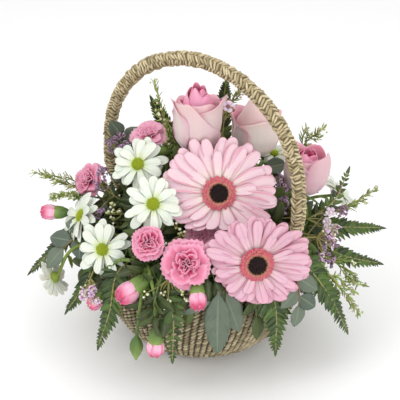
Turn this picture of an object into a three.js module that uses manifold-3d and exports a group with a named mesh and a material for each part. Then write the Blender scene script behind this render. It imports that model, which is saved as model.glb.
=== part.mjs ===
// Flower basket arrangement: a round seagrass basket with a hoop handle, lined, filled with wet floral foam
// and set with gerberas, roses, spray carnations, daisies, fern and small filler flowers.
// Millimetres, +Z up, origin on the table under the basket's middle. The handle stands in the XZ plane.
import * as THREE from "three";
import Module from "manifold-3d";

const wasm = await Module();
wasm.setup();
const { Manifold, Mesh: SolidMesh } = wasm;

// Driving dimensions
const FRONT_TURN = 35; // degrees from the handle's plane to the side that the flowers face
const GAP = 0.35; // clearance between neighbouring pieces
const BASE_RADIUS = 62;
const RIM_RADIUS = 109;
const RIM_HEIGHT = 107;
const BASE_THICKNESS = 7;
const RIM_THICKNESS = 5.6;
const BASKET_RIBS = 18;
const RIB_DEPTH = 1.1;
const HOOP_OFFSET = -5;
const HOOP_RADIUS = 113;
const HOOP_CENTRE = 178;
const HOOP_RISE = 112;
const HOOP_THICKNESS = 7;
const HOOP_FOOT = 44;
const LEG_THICKNESS = 4.5; // radius of the hoop's legs inside the basket
const LINER_RADIUS = 88;
const LINER_TOP = 107;
const LINER_WALL = 1.2;
const FOAM_RADIUS = 82;
const FOAM_TOP = 131;
const PETAL = 0.8; // thickness of petals
const LEAF = 0.7; // thickness of leaves
const SMALLEST = 0.15; // detail under this is dropped after fusing

// How far every surface stands out while a clearance is being cut; 0 for the pieces themselves
let grow = 0;

const V = (x, y, z) => new THREE.Vector3(x, y, z);
const range = (count) => Array.from({ length: count }, (_, i) => i);
const mix = (a, b, t) => a + (b - a) * t;
const rad = (degrees) => (degrees * Math.PI) / 180;

function random(seed) {
  let state = seed * 7919 + 13;
  return (low, high) => {
    state = (state * 1664525 + 1013904223) % 4294967296;
    return low + ((high - low) * state) / 4294967296;
  };
}

// One closed solid from points and triangles, turned to face out
function closed(points, faces) {
  const build = (order) =>
    new Manifold(
      new SolidMesh({
        numProp: 3,
        vertProperties: new Float32Array(points.flatMap((p) => [p.x, p.y, p.z])),
        triVerts: new Uint32Array(order.flat()),
      }),
    );
  const made = build(faces);
  return made.volume() < 0 ? build(faces.map(([a, b, c]) => [a, c, b])) : made;
}

// A thin sheet of even thickness over a surface of points and triangles
function sheet(points, faces, thickness) {
  const count = points.length;
  const normals = points.map(() => V(0, 0, 0));
  const rim = new Map();
  for (const [a, b, c] of faces) {
    const ab = points[b].clone().sub(points[a]);
    const ac = points[c].clone().sub(points[a]);
    const normal = ab.cross(ac);
    for (const i of [a, b, c]) normals[i].add(normal);
    for (const [i, j] of [[a, b], [b, c], [c, a]]) {
      if (!rim.delete(j + "_" + i)) rim.set(i + "_" + j, [i, j]);
    }
  }
  normals.forEach((n) => n.normalize());
  const spread = points.map(() => V(0, 0, 0));
  for (const [i, j] of rim.values()) {
    const along = points[j].clone().sub(points[i]).normalize();
    const out = along.cross(normals[i].clone().add(normals[j]).normalize());
    spread[i].add(out);
    spread[j].add(out);
  }
  const half = thickness / 2 + grow;
  const moved = points.map((p, i) => p.clone().addScaledVector(spread[i].normalize(), grow * 1.4));
  const top = moved.map((p, i) => p.clone().addScaledVector(normals[i], half));
  const bottom = moved.map((p, i) => p.clone().addScaledVector(normals[i], -half));
  const shell = faces.flatMap(([a, b, c]) => [
    [a, b, c],
    [c + count, b + count, a + count],
  ]);
  for (const [i, j] of rim.values()) {
    shell.push([j, i, i + count]);
    shell.push([j, i + count, j + count]);
  }
  return closed([...top, ...bottom], shell);
}

// A sheet over rows of points, each row across the blade
function blade(rows, thickness) {
  const across = rows[0].length;
  const faces = [];
  for (let r = 0; r + 1 < rows.length; r++) {
    for (let c = 0; c + 1 < across; c++) {
      const a = r * across + c;
      const d = a + across;
      faces.push([a, a + 1, d + 1]);
      faces.push([a, d + 1, d]);
    }
  }
  return sheet(rows.flat(), faces, thickness);
}

// Petals joined round a hub, or round a hole in it, in one sheet: rows(i) gives petal i's rows from its root
function whorl(count, rows, thickness, hubHeight, hole = 0) {
  const points = [];
  const faces = [];
  const petals = range(count).map((i) => {
    const turn = (2 * Math.PI * i) / count;
    const grid = rows(i).map((row) =>
      row.map((p) => points.push(p.clone().applyAxisAngle(V(0, 0, 1), turn)) - 1),
    );
    for (let r = 0; r + 1 < grid.length; r++) {
      for (let c = 0; c + 1 < grid[r].length; c++) {
        faces.push([grid[r][c], grid[r + 1][c], grid[r + 1][c + 1]]);
        faces.push([grid[r][c], grid[r + 1][c + 1], grid[r][c + 1]]);
      }
    }
    return grid[0];
  });
  // the hub: a strip of triangles from the roots in to a small ring, filled where there is no hole
  const outer = petals.flat();
  const corners = 6;
  const start = Math.atan2(points[outer[0]].y, points[outer[0]].x);
  const inner = range(corners).map((k) => {
    const angle = start + (2 * Math.PI * k) / corners;
    const reach = hole || 0.6 * Math.hypot(points[outer[0]].x, points[outer[0]].y);
    return points.push(V(reach * Math.cos(angle), reach * Math.sin(angle), hubHeight)) - 1;
  });
  let o = 0;
  let k = 0;
  while (o < outer.length || k < corners) {
    const a = outer[o % outer.length];
    const b = inner[k % corners];
    if (k === corners || (o < outer.length && (o + 1) / outer.length <= (k + 1) / corners)) {
      o += 1;
      faces.push([b, a, outer[o % outer.length]]);
    } else {
      k += 1;
      faces.push([b, a, inner[k % corners]]);
    }
  }
  if (!hole) for (let c = 1; c + 1 < corners; c++) faces.push([inner[0], inner[c], inner[c + 1]]);
  return sheet(points, faces, thickness);
}

// A closed body through rings of points of one count
function loft(rings) {
  const sides = rings[0].length;
  const faces = [];
  for (let r = 0; r + 1 < rings.length; r++) {
    for (const k of range(sides)) {
      const a = r * sides + k;
      const b = r * sides + ((k + 1) % sides);
      faces.push([a, b, b + sides]);
      faces.push([a, b + sides, a + sides]);
    }
  }
  const last = (rings.length - 1) * sides;
  for (let k = 1; k + 1 < sides; k++) {
    faces.push([0, k + 1, k]);
    faces.push([last, last + k, last + k + 1]);
  }
  return closed(rings.flat(), faces);
}

function tube(path, radius, sides = 5) {
  const last = path.length - 1;
  let normal = null;
  return loft(
    path.map((point, i) => {
      const dir = path[Math.min(i + 1, last)].clone().sub(path[Math.max(i - 1, 0)]).normalize();
      if (!normal) normal = Math.abs(dir.z) < 0.9 ? V(0, 0, 1) : V(1, 0, 0);
      normal = normal.clone().addScaledVector(dir, -normal.dot(dir)).normalize();
      const other = dir.clone().cross(normal);
      const r = radius(i / last) + grow / Math.cos(Math.PI / sides);
      const shift = i === 0 ? -grow : i === last ? grow : 0;
      const centre = point.clone().addScaledVector(dir, shift);
      return range(sides).map((k) => {
        const angle = (2 * Math.PI * k) / sides;
        return centre
          .clone()
          .addScaledVector(normal, r * Math.cos(angle))
          .addScaledVector(other, r * Math.sin(angle));
      });
    }),
  );
}

const curve = (points, steps) => new THREE.CatmullRomCurve3(points).getPoints(steps);

// A turned body about +Z from [radius, height] pairs, with flat ends
function turned(profile, sides) {
  return loft(
    profile.map(([r, z], i) =>
      range(sides).map((k) => {
        const angle = (2 * Math.PI * k) / sides;
        const end = i === 0 ? -grow : i === profile.length - 1 ? grow : 0;
        return V((r + grow) * Math.cos(angle), (r + grow) * Math.sin(angle), z + end);
      }),
    ),
  );
}

const put = (solid, matrix) => solid.transform(Array.from(matrix.elements));
const spun = (solid, angle) => put(solid, new THREE.Matrix4().makeRotationZ(angle));

// Moves a piece made about +Z so that it sits at a point and faces along dir
function facing(solid, point, dir, spin = 0) {
  const turn = new THREE.Quaternion().setFromUnitVectors(V(0, 0, 1), dir.clone().normalize());
  turn.multiply(new THREE.Quaternion().setFromAxisAngle(V(0, 0, 1), spin));
  return put(solid, new THREE.Matrix4().compose(point, turn, V(1, 1, 1)));
}

function largest(solid) {
  const bodies = solid.decompose();
  return bodies.reduce((a, b) => (b.volume() > a.volume() ? b : a));
}

// A flat ring of ray petals: each station is [share of length, share of half width, rise]
function rayPetals({ count, inner, outer, half, base, shape, jitter, seed, hole }) {
  const pick = random(seed);
  return whorl(
    count,
    () => {
      const reach = outer * (1 + pick(-jitter, jitter * 0.5));
      const lift = pick(-1, 1) * jitter * outer * 0.5;
      const skew = pick(-0.5, 0.5) * jitter;
      return shape.map(([along, wide, rise]) => {
        const x = mix(inner, reach, along);
        const y = skew * x * along;
        const z = base + rise + lift * along * along;
        const tilt = wide * half * pick(-0.14, 0.14) * Math.min(1, along * 3);
        return [V(x, y - half * wide, z - tilt), V(x, y + half * wide, z + tilt)];
      });
    },
    PETAL,
    base,
    hole,
  );
}

// Stem from the back of a head down into the foam
function stem(points, thick, thin, steps = 3, sides = 4) {
  return tube(curve(points, steps), (t) => mix(thin, thick, t), sides);
}

// pieces about the basket's axis
function basketBowl() {
  const outer = [
    [BASE_RADIUS, 0],
    [77, 9],
    [91, 26],
    [101, 48],
    [107, 74],
    [109, 101],
  ];
  const inner = [
    [102, 101],
    [99.5, 70],
    [89, 34],
    [66, BASE_THICKNESS],
  ];
  const sides = BASKET_RIBS * 2;
  const ring = ([r, z], ribbed, row) =>
    range(sides).map((k) => {
      const angle = (2 * Math.PI * k) / sides;
      const rib = ribbed ? RIB_DEPTH * ((k + row) % 2 ? -1 : 1) : 0;
      return V((r + rib + grow) * Math.cos(angle), (r + rib + grow) * Math.sin(angle), z);
    });
  return loft([
    ...outer.map((p, i) => ring(p, i > 0, i)),
    ...inner.map((p) => ring(p, false, 0)),
  ]);
}

function basketRim() {
  const steps = 35;
  const sides = 5;
  const twists = 3;
  const points = [];
  for (const i of range(steps)) {
    const around = (2 * Math.PI * i) / steps;
    for (const k of range(sides)) {
      const angle = (2 * Math.PI * k) / sides + twists * around;
      const r = RIM_THICKNESS * (k % 2 === 0 ? 1 : 0.84) + grow;
      const reach = RIM_RADIUS - 3.5 + r * Math.cos(angle);
      points.push(V(reach * Math.cos(around), reach * Math.sin(around), RIM_HEIGHT + r * Math.sin(angle)));
    }
  }
  const faces = [];
  const total = points.length;
  // the twist carries ring 0 onto itself after a whole number of turns
  for (const i of range(steps)) {
    for (const k of range(sides)) {
      const a = i * sides + k;
      const b = i * sides + ((k + 1) % sides);
      faces.push([a, b, (b + sides) % total]);
      faces.push([a, (b + sides) % total, (a + sides) % total]);
    }
  }
  return closed(points, faces);
}

function handlePath() {
  const right = HOOP_OFFSET + HOOP_RADIUS;
  const left = HOOP_OFFSET - HOOP_RADIUS;
  const path = [V(86, 0, HOOP_FOOT), V(91, 0, 72), V(94.8, 0, 106), V(102, 0, 128), V(right, 0, 154)];
  for (let a = 0; a <= 180; a += 12) {
    path.push(V(HOOP_OFFSET + HOOP_RADIUS * Math.cos(rad(a)), 0, HOOP_CENTRE + HOOP_RISE * Math.sin(rad(a))));
  }
  path.push(V(left, 0, 154), V(-105, 0, 128), V(-94.8, 0, 106), V(-91, 0, 72), V(-86, 0, HOOP_FOOT));
  return path;
}

function handle() {
  const path = curve(handlePath(), 50);
  const sides = 5;
  const last = path.length - 1;
  return loft(
    path.map((point, i) => {
      const dir = path[Math.min(i + 1, last)].clone().sub(path[Math.max(i - 1, 0)]).normalize();
      const other = dir.clone().cross(V(0, 1, 0)).normalize();
      const twist = i * rad(24);
      const thick = mix(LEG_THICKNESS, HOOP_THICKNESS, THREE.MathUtils.smoothstep(point.z, 114, 146));
      return range(sides).map((k) => {
        const angle = (2 * Math.PI * k) / sides + twist;
        const r = thick * (k % 5 ? 0.98 : 1.1) * (i === 0 || i === last ? 0.8 : 1) + grow;
        return point
          .clone()
          .addScaledVector(V(0, 1, 0), r * Math.cos(angle))
          .addScaledVector(other, r * Math.sin(angle));
      });
    }),
  );
}

function liner() {
  const side = [
    [0.1, BASE_THICKNESS + GAP],
    [60, BASE_THICKNESS + GAP],
    [79, 36],
    [LINER_RADIUS, LINER_TOP],
    [LINER_RADIUS - LINER_WALL, LINER_TOP],
    [79 - LINER_WALL, 36.5],
    [59.4, BASE_THICKNESS + GAP + LINER_WALL],
    [0.1, BASE_THICKNESS + GAP + LINER_WALL],
  ];
  const sides = 18;
  return loft(
    side.map(([r, z]) =>
      range(sides).map((k) => {
        const angle = (2 * Math.PI * k) / sides;
        return V(r * Math.cos(angle), r * Math.sin(angle), z);
      }),
    ),
  );
}

const foamBlock = () =>
  turned(
    [
      [57, BASE_THICKNESS + 2 * GAP + LINER_WALL + 0.1],
      [75, 37],
      [FOAM_RADIUS, 104],
      [FOAM_RADIUS, 121],
      [70, FOAM_TOP],
    ],
    18,
  );

// gerberas
function gerberaPetals(point, dir, spin, radius) {
  const shape = [
    [0, 0.4, 0],
    [0.72, 1, 2.2],
    [1, 0.42, 0.6],
  ];
  const hub = turned(
    [
      [3.4, -2.4],
      [3.4, 2.4],
    ],
    5,
  );
  const outer = rayPetals({ count: 15, inner: 8, outer: radius, half: 6, base: -1, shape, jitter: 0.05, seed: 3 });
  const innerLayer = rayPetals({
    count: 12,
    inner: 7.6,
    outer: radius * 0.9,
    half: 5.6,
    base: 1.3,
    shape: shape.map(([a, w, z]) => [a, w, z * 1.7 + a * 1.6]),
    jitter: 0.06,
    seed: 8,
  });
  return facing(Manifold.union([hub, outer, spun(innerLayer, 0.18)]), point, dir, spin);
}

// A spiky ring of short florets round the raised disc of dark ones
function gerberaEye(point, dir, spin) {
  const sides = 18;
  const profile = [
    [6, 6, 2.9, 2.9],
    [10.2, 16.4, 3.8, 6.6],
    [9.4, 15.6, 5, 7.6],
    [8.2, 9, 5.2, 5.6],
    [6.6, 7.6, 7.2, 8.2],
    [2.6, 3, 7.6, 7.2],
  ];
  const eye = loft(
    profile.map(([low, high, lowZ, highZ], row) =>
      range(sides).map((k) => {
        const angle = (2 * Math.PI * k) / sides;
        const reach = (k % 2 ? high : low) + grow;
        const end = row === 0 ? -grow : row > 3 ? grow : 0;
        return V(reach * Math.cos(angle), reach * Math.sin(angle), (k % 2 ? highZ : lowZ) + end);
      }),
    ),
  );
  return facing(eye, point, dir, spin);
}

function gerberaStem(point, dir, path) {
  const calyx = turned(
    [
      [3, -13],
      [7.5, -8],
      [8.6, -2.9],
    ],
    10,
  );
  const back = point.clone().addScaledVector(dir.clone().normalize(), -10);
  return Manifold.union([facing(calyx, point, dir), stem([back, ...path], 3, 2.7)]);
}

// roses
function roseBloom(point, dir, spin, scale) {
  const s = scale;
  const layers = [
    { count: 4, radius: 23.5, height: 42, half: 0.98, curl: 6.5, turn: 0, foot: 4.4, base: 2.2 },
    { count: 3, radius: 18, height: 49, half: 1.26, curl: 3.2, turn: 0.6, foot: 3.8, base: 3.8 },
    { count: 3, radius: 13, height: 54, half: 1.22, curl: 0.8, turn: 1.4, foot: 3.4, base: 5.4 },
  ];
  const pick = random(11);
  const shells = layers.map(({ count, radius, height, half, curl, turn, foot, base }) => {
    const petals = whorl(
      count,
      () => {
        const r = radius * s;
        const h = (height + pick(-3, 1.5)) * s;
        return [
          [base * s, foot * s, half * 0.7, 0],
          [h * 0.36, r, half, 1.3],
          [h * 0.8, r * 0.97, half * 0.95, 1.5],
          [h, r + curl * s, half * 0.4, 1],
        ].map(([z, reach, spread, lap]) =>
          [-1, 0, 1].map((side) => {
            const angle = spread * side;
            const out = reach + side * lap * s;
            const drop = z > 20 && side ? -2.2 : 0;
            return V(out * Math.cos(angle), out * Math.sin(angle), z + drop);
          }),
        );
      },
      PETAL,
      base * s,
    );
    return spun(petals, turn);
  });
  const heart = loft(
    range(4).map((i) =>
      range(6).map((k) => {
        const angle = (2 * Math.PI * k) / 6 + i * 0.5;
        const r = [1.4, 1.5, 7.4, 3][i] * s * (i > 1 && k % 2 ? 1.2 : 1) + grow;
        return V(r * Math.cos(angle), r * Math.sin(angle), [0, 6.4, 34, 54][i] * s);
      }),
    ),
  );
  return facing(Manifold.union([heart, ...shells]), point, dir, spin);
}

function roseStem(point, dir, path, scale) {
  const hip = turned(
    [
      [3.2, -8 * scale],
      [5.6 * scale, -5 * scale],
      [4.8 * scale, -GAP],
    ],
    8,
  );
  const sepals = whorl(
    5,
    () =>
      [
        [3, -2.2, 1.6],
        [13, -1.6, 3.1],
        [26, -14, 0.6],
      ].map(([x, z, half]) => [V(x * scale, -half, z * scale), V(x * scale, half, z * scale)]),
    LEAF,
    -2.4,
  );
  const back = point.clone().addScaledVector(dir.clone().normalize(), -5 * scale);
  return Manifold.union([
    facing(Manifold.union([hip, sepals]), point, dir),
    stem([back, ...path], 3.2, 2.8),
  ]);
}

// carnations
function carnationBloom(point, dir, spin, radius, seed) {
  const pick = random(seed);
  const layers = [
    { count: 5, tilt: 80, share: 1, base: -0.14 },
    { count: 4, tilt: 46, share: 0.92, base: -0.02 },
  ];
  const whorls = layers.map(({ count, tilt, share, base }, layer) => {
    const petals = whorl(
      count,
      () => {
        const lean = rad(tilt + pick(-6, 6));
        const reach = radius * share * pick(0.94, 1.06);
        const wide = reach * Math.sin(lean) * Math.tan(Math.PI / count) * 0.9;
        return [
          [0.16, 0.16, 0],
          [0.66, 0.66, 0.04],
          [1, 0.92, 0.1],
        ].map(([along, spread, wave], row) =>
          [-1, 0, 1].map((side) => {
            const notch = row === 2 ? [0.9, 1, 0.84][side + 1] : 1;
            const out = along * reach * notch;
            const ripple = wave * radius * (side ? 1 : -1) * pick(0.7, 1.2);
            return V(
              out * Math.sin(lean) - ripple * Math.cos(lean) + 0.06 * radius,
              side * spread * wide,
              base * radius + out * Math.cos(lean) + ripple * Math.sin(lean),
            );
          }),
        );
      },
      PETAL,
      base * radius,
    );
    return spun(petals, layer * 0.7);
  });
  const core = loft(
    [
      [0.06, -0.24],
      [0.06, 0.04],
      [0.3, 0.4],
      [0.14, 0.8],
    ].map(([r, z], i) =>
      range(6).map((k) => {
        const angle = (2 * Math.PI * k) / 6 + i * 0.3;
        const reach = r * radius * (i > 1 && k % 2 ? 1.35 : 0.9) + grow;
        return V(reach * Math.cos(angle), reach * Math.sin(angle), z * radius);
      }),
    ),
  );
  return facing(Manifold.union([core, ...whorls]), point, dir, spin);
}

// A green calyx below a bloom of the radius, and the point where its stem leaves it
function calyx(point, dir, radius, length) {
  const top = -radius * 0.22 - GAP;
  const wide = Math.max(3.6, radius * 0.24);
  const body = turned(
    [
      [1.9, top - length],
      [wide, top - length * 0.72],
      [wide * 1.12, top],
    ],
    6,
  );
  return facing(body, point, dir);
}

const calyxFoot = (point, dir, radius, length) =>
  point.clone().addScaledVector(dir.clone().normalize(), -radius * 0.22 - GAP - length + 1.5);

function budTip(point, dir, seed, scale = 1) {
  const pick = random(seed);
  const lobes = 8;
  const rows = [
    [3.6, 0],
    [6.4, 5],
    [6.8, 10],
    [4.6, 15.5],
    [1.6, 18],
  ];
  const tip = loft(
    rows.map(([r, z], i) =>
      range(lobes).map((k) => {
        const angle = (2 * Math.PI * k) / lobes + i * 0.28;
        const reach = r * scale * (k % 2 ? 1.1 : 0.86) * pick(0.96, 1.04) + grow;
        return V(reach * Math.cos(angle), reach * Math.sin(angle), z * scale);
      }),
    ),
  );
  return facing(tip, point, dir);
}

function budCalyx(point, dir, scale = 1) {
  const body = turned(
    [
      [1.6, -15 * scale - GAP],
      [5 * scale, -9 * scale - GAP],
      [4.4 * scale, -GAP],
    ],
    6,
  );
  return facing(body, point, dir);
}

const budFoot = (point, dir, scale = 1) =>
  point.clone().addScaledVector(dir.clone().normalize(), -14 * scale - GAP);

// daisies
function daisyPetals(point, dir, spin, radius, count, seed) {
  const shape = [
    [0, 0.2, 0],
    [0.66, 1, 1.4],
    [1, 0.36, -0.4],
  ];
  const petals = rayPetals({
    count,
    inner: 4.4,
    outer: radius,
    half: radius * 0.165,
    base: 0,
    shape,
    jitter: 0.07,
    seed,
    hole: 2.5,
  });
  return facing(petals, point, dir, spin);
}

// The lime disc of florets above the petals and the green cup below, joined through the petals' ring
function daisyHeart(point, dir) {
  const heart = turned(
    [
      [1.4, -6.5],
      [1.7, 0.9],
      [5, 2],
      [2.6, 4.4],
    ],
    6,
  );
  return facing(heart, point, dir);
}

const daisyFoot = (point, dir) => point.clone().addScaledVector(dir.clone().normalize(), -5.5);

// leaves
// A fern frond: pointed leaflets in pairs along a curved rib, with a bare stalk below
function frond(points, { pairs, width, seed, bare = 0.4, face = V(0, 0, 1) }) {
  const pick = random(seed);
  const path = new THREE.CatmullRomCurve3(points);
  const stations = range(pairs + 1).map((i) => path.getPoint(mix(bare, 0.97, i / pairs)));
  const verts = [];
  const faces = [];
  const add = (v) => verts.push(v) - 1;
  const ribs = stations.map((p, i) => {
    const dir = stations[Math.min(i + 1, pairs)].clone().sub(stations[Math.max(i - 1, 0)]).normalize();
    const side = dir.clone().cross(face).normalize();
    const normal = side.clone().cross(dir).normalize();
    const half = mix(1.1, 0.7, i / pairs);
    return {
      p,
      dir,
      side,
      normal,
      left: add(p.clone().addScaledVector(side, -half)),
      right: add(p.clone().addScaledVector(side, half)),
    };
  });
  for (const i of range(pairs)) {
    const a = ribs[i];
    const b = ribs[i + 1];
    const step = b.p.distanceTo(a.p);
    const share = i / pairs;
    const reach = width * Math.min(1, 0.62 + share * 1.3) * Math.pow(1 - share, 0.75) + 3;
    faces.push([a.left, a.right, b.right]);
    faces.push([a.left, b.right, b.left]);
    for (const [sign, from, to] of [[-1, a.left, b.left], [1, a.right, b.right]]) {
      const lift = pick(-0.14, 0.1) * reach;
      const at = (out, ahead, up) =>
        add(
          a.p
            .clone()
            .addScaledVector(a.side, sign * out * reach)
            .addScaledVector(a.dir, ahead * step)
            .addScaledVector(a.normal, up * lift),
        );
      const tip = at(1, 0.86 + reach * 0.018, 1);
      faces.push(sign > 0 ? [from, tip, to] : [from, to, tip]);
    }
  }
  const end = add(points[points.length - 1].clone());
  faces.push([ribs[pairs].left, ribs[pairs].right, end]);
  const stalk = range(4).map((i) => path.getPoint(mix(0, bare + 0.05, i / 3)));
  return Manifold.union([sheet(verts, faces, LEAF), tube(stalk, (t) => mix(1.9, 1.6, t), 3)]);
}

// Pieces that spring from one point at the foam's side, on one short stalk that stands in the foam
function rooted(entry, inner, parts) {
  return Manifold.union([tube([inner, entry], () => 2, 4), ...parts]);
}

// One broad leaf from its base along dir, folded a little at the midrib
function leaf(base, dir, face, length, half, bend = 0.12, fold = 0.18) {
  const along = dir.clone().normalize();
  const side = along.clone().cross(face).normalize();
  const up = side.clone().cross(along).normalize();
  const rows = [
    [0, 0.14],
    [0.46, 1],
    [0.84, 0.66],
    [1, 0.1],
  ].map(([t, wide]) =>
    [-1, 0, 1].map((k) =>
      base
        .clone()
        .addScaledVector(along, t * length)
        .addScaledVector(side, k * wide * half)
        .addScaledVector(up, -bend * length * t * t + Math.abs(k) * fold * wide * half),
    ),
  );
  return blade(rows, LEAF);
}

// A leafy eucalyptus stem: leaves in turn left and right of a curved stem
function eucalyptus(points, { count, half, length, seed, from = 0.5, lean = 1.6, face = V(0, 0, 1) }) {
  const pick = random(seed);
  const path = new THREE.CatmullRomCurve3(points);
  const leaves = range(count).map((i) => {
    const last = i === count - 1;
    const t = mix(from, 0.985, i / Math.max(1, count - 1));
    const dir = path.getTangent(t);
    const side = dir.clone().cross(face).normalize();
    const turn = last ? 0 : i % 2 ? lean : -lean;
    const out = dir.clone().addScaledVector(side, turn).addScaledVector(face, last ? 0 : pick(0, 0.25));
    const at = path.getPoint(t);
    return leaf(at, out, face, length * pick(0.85, 1.1), half * pick(0.85, 1.1));
  });
  return Manifold.union([tube(path.getPoints(4), (t) => mix(1.6, 0.9, t), 3), ...leaves]);
}

// A pointed needle on a three-sided foot
function spike(foot, tip, radius) {
  const dir = tip.clone().sub(foot).normalize();
  const side = dir.clone().cross(Math.abs(dir.z) < 0.9 ? V(0, 0, 1) : V(1, 0, 0)).normalize();
  const ring = range(3).map((k) =>
    foot.clone().addScaledVector(side.clone().applyAxisAngle(dir, (2 * Math.PI * k) / 3), radius + 2 * grow),
  );
  const end = tip.clone().addScaledVector(dir, 3 * grow);
  return closed([...ring, end], [[0, 2, 1], [0, 1, 3], [1, 2, 3], [2, 0, 3]]);
}

// A feathery sprig: short needles round a forked twig
function sprig(points, { forks = 2, needles = 6, seed, from = 0.5 }) {
  const pick = random(seed);
  const path = new THREE.CatmullRomCurve3(points);
  const end = points[points.length - 1];
  const span = end.distanceTo(points[points.length - 2]);
  const parts = [tube(path.getPoints(4), (t) => mix(1.5, 0.7, t), 3)];
  const twigs = [path];
  for (const i of range(forks)) {
    const t = mix(from, 0.86, (i + 0.4) / forks);
    const at = path.getPoint(t);
    const dir = path.getTangent(t);
    const side = dir.clone().cross(V(pick(-0.4, 0.4), -1, 0.4)).normalize();
    const out = dir.clone().addScaledVector(side, i % 2 ? 0.75 : -0.75).normalize();
    const tip = at.clone().addScaledVector(out, span * pick(0.55, 0.8));
    const fork = new THREE.LineCurve3(at, tip);
    parts.push(tube([at, tip], (s) => mix(0.9, 0.5, s), 3));
    twigs.push(fork);
  }
  for (const i of range(needles)) {
    const twig = twigs[i % twigs.length];
    const t = twig === path ? mix(from, 0.98, i / needles) : mix(0.35, 0.98, i / needles);
    const at = twig.getPoint(t);
    const dir = twig.getTangent(t);
    const side = dir.clone().cross(V(pick(-1, 1), pick(-1, 1), pick(-1, 1))).normalize();
    const tip = at.clone().addScaledVector(dir, pick(4, 6)).addScaledVector(side, pick(3, 5));
    parts.push(spike(at, tip, 1));
  }
  return Manifold.union(parts);
}

// A branched spray that carries small star flowers on its twig ends
function starSpray(points, heads, { seed, size = 5 }) {
  const pick = random(seed);
  const path = new THREE.CatmullRomCurve3(points);
  const parts = [tube(path.getPoints(3), (t) => mix(1.5, 0.9, t), 3)];
  const hub = points[points.length - 1];
  for (const head of heads) {
    const dir = head.clone().sub(hub).normalize();
    parts.push(tube([hub, head], () => 0.9, 3));
    const rings = [
      [1, 1, -1, -1],
      [size * 0.4, size, 1.4, 2.4],
    ].map(([low, high, lowZ, highZ], row) =>
      range(10).map((k) => {
        const angle = (2 * Math.PI * k) / 10;
        const r = (k % 2 ? low : high * pick(0.9, 1.1)) + grow;
        return V(r * Math.cos(angle), r * Math.sin(angle), (k % 2 ? lowZ : highZ) + (row ? grow : -grow));
      }),
    );
    parts.push(facing(loft(rings), head, dir, pick(0, 1)));
  }
  return Manifold.union(parts);
}

// the arrangement, seen from its front:
// x to the right, y away from the viewer, z up. Earlier pieces keep their shape and later ones give way.
const pieces = [];
const turnToHandle = new THREE.Matrix4().makeRotationZ(rad(FRONT_TURN));

function piece(name, colour, roughness, make) {
  pieces.push({ name, colour, roughness, make });
}

const flower = (name, colour, roughness, make) =>
  piece(name, colour, roughness, () => put(make(), turnToHandle));

const SEAGRASS = 0xa89870;
const GREEN = 0x6f8a3f;
const FERN = 0x35502a;

piece("basket", 0x968c73, 0.9, basketBowl);
piece("basket_rim", SEAGRASS, 0.9, basketRim);
piece("handle", SEAGRASS, 0.88, handle);
piece("liner", 0x2c3a2c, 0.35, liner);

const gerberas = [
  { at: V(15, -62, 185), dir: V(-0.02, -0.9, 0.44), spin: 0.2, r: 53, path: [V(10, -38, 146), V(6, -22, 112)] },
  { at: V(48, -108, 138), dir: V(0.12, -0.95, 0.22), spin: 0.5, r: 50, path: [V(41, -84, 130), V(26, -52, 116)] },
];
gerberas.forEach(({ at, dir, spin, r, path }, i) => {
  const name = "gerbera_" + (i + 1);
  flower(name + "_stem", GREEN, 0.6, () => gerberaStem(at, dir, path));
  flower(name + "_petals", i ? 0xe4afc3 : 0xf0d2da, 0.55, () => gerberaPetals(at, dir, spin, r));
  flower(name + "_eye", 0xa8505a, 0.7, () => gerberaEye(at, dir, spin));
});

const roses = [
  { at: V(-6, -14, 203), dir: V(0.04, 0.02, 1), spin: 0.3, s: 1.03, path: [V(-4, -8, 160), V(-2, -4, 108)] },
  { at: V(50, 20, 184), dir: V(0.1, 0.02, 1), spin: 1.6, s: 1, path: [V(36, 16, 150), V(24, 12, 110)] },
  { at: V(96, -6, 160), dir: V(0.5, -0.1, 0.9), spin: 2.2, s: 0.92, path: [V(72, 0, 135), V(50, 4, 112)] },
];
roses.forEach(({ at, dir, spin, s, path }, i) => {
  const name = "rose_" + (i + 1);
  flower(name + "_stem", GREEN, 0.6, () => roseStem(at, dir, path, s));
  flower(name + "_bloom", 0xdec8c8, 0.5, () => roseBloom(at, dir, spin, s));
});

const carnations = {
  left: { at: V(-49, -98, 152), dir: V(-0.2, -0.8, 0.55), spin: 0.4, r: 19, seed: 21 },
  middle: { at: V(-17, -111, 140), dir: V(-0.02, -0.9, 0.42), spin: 1, r: 25, seed: 22 },
  far: { at: V(-112, 18, 158), dir: V(-0.6, -0.5, 0.6), spin: 2, r: 19, seed: 23 },
  shaded: { at: V(-3, -66, 143), dir: V(-0.1, -0.7, 0.7), spin: 0, r: 15, seed: 24 },
  high: { at: V(-52, 10, 208), dir: V(-0.25, -0.3, 0.9), spin: 0.7, r: 19, seed: 25 },
  back: { at: V(34, 92, 152), dir: V(0.3, 0.8, 0.5), spin: 0.2, r: 22, seed: 26 },
};
const buds = [
  { at: V(-146, 0, 131), dir: V(-1, -0.05, 0.05), s: 0.95, seed: 31 },
  { at: V(-62, -106, 112), dir: V(-0.8, -0.5, -0.35), s: 1, seed: 32 },
  { at: V(-5, -124, 118), dir: V(0.05, -0.75, -0.6), s: 0.95, seed: 33 },
  { at: V(-43, -124, 66), dir: V(-0.05, -0.15, -1), s: 1, seed: 34 },
  { at: V(-96, -79, 84), dir: V(-0.7, -0.2, -0.65), s: 0.95, seed: 35 },
];

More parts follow.
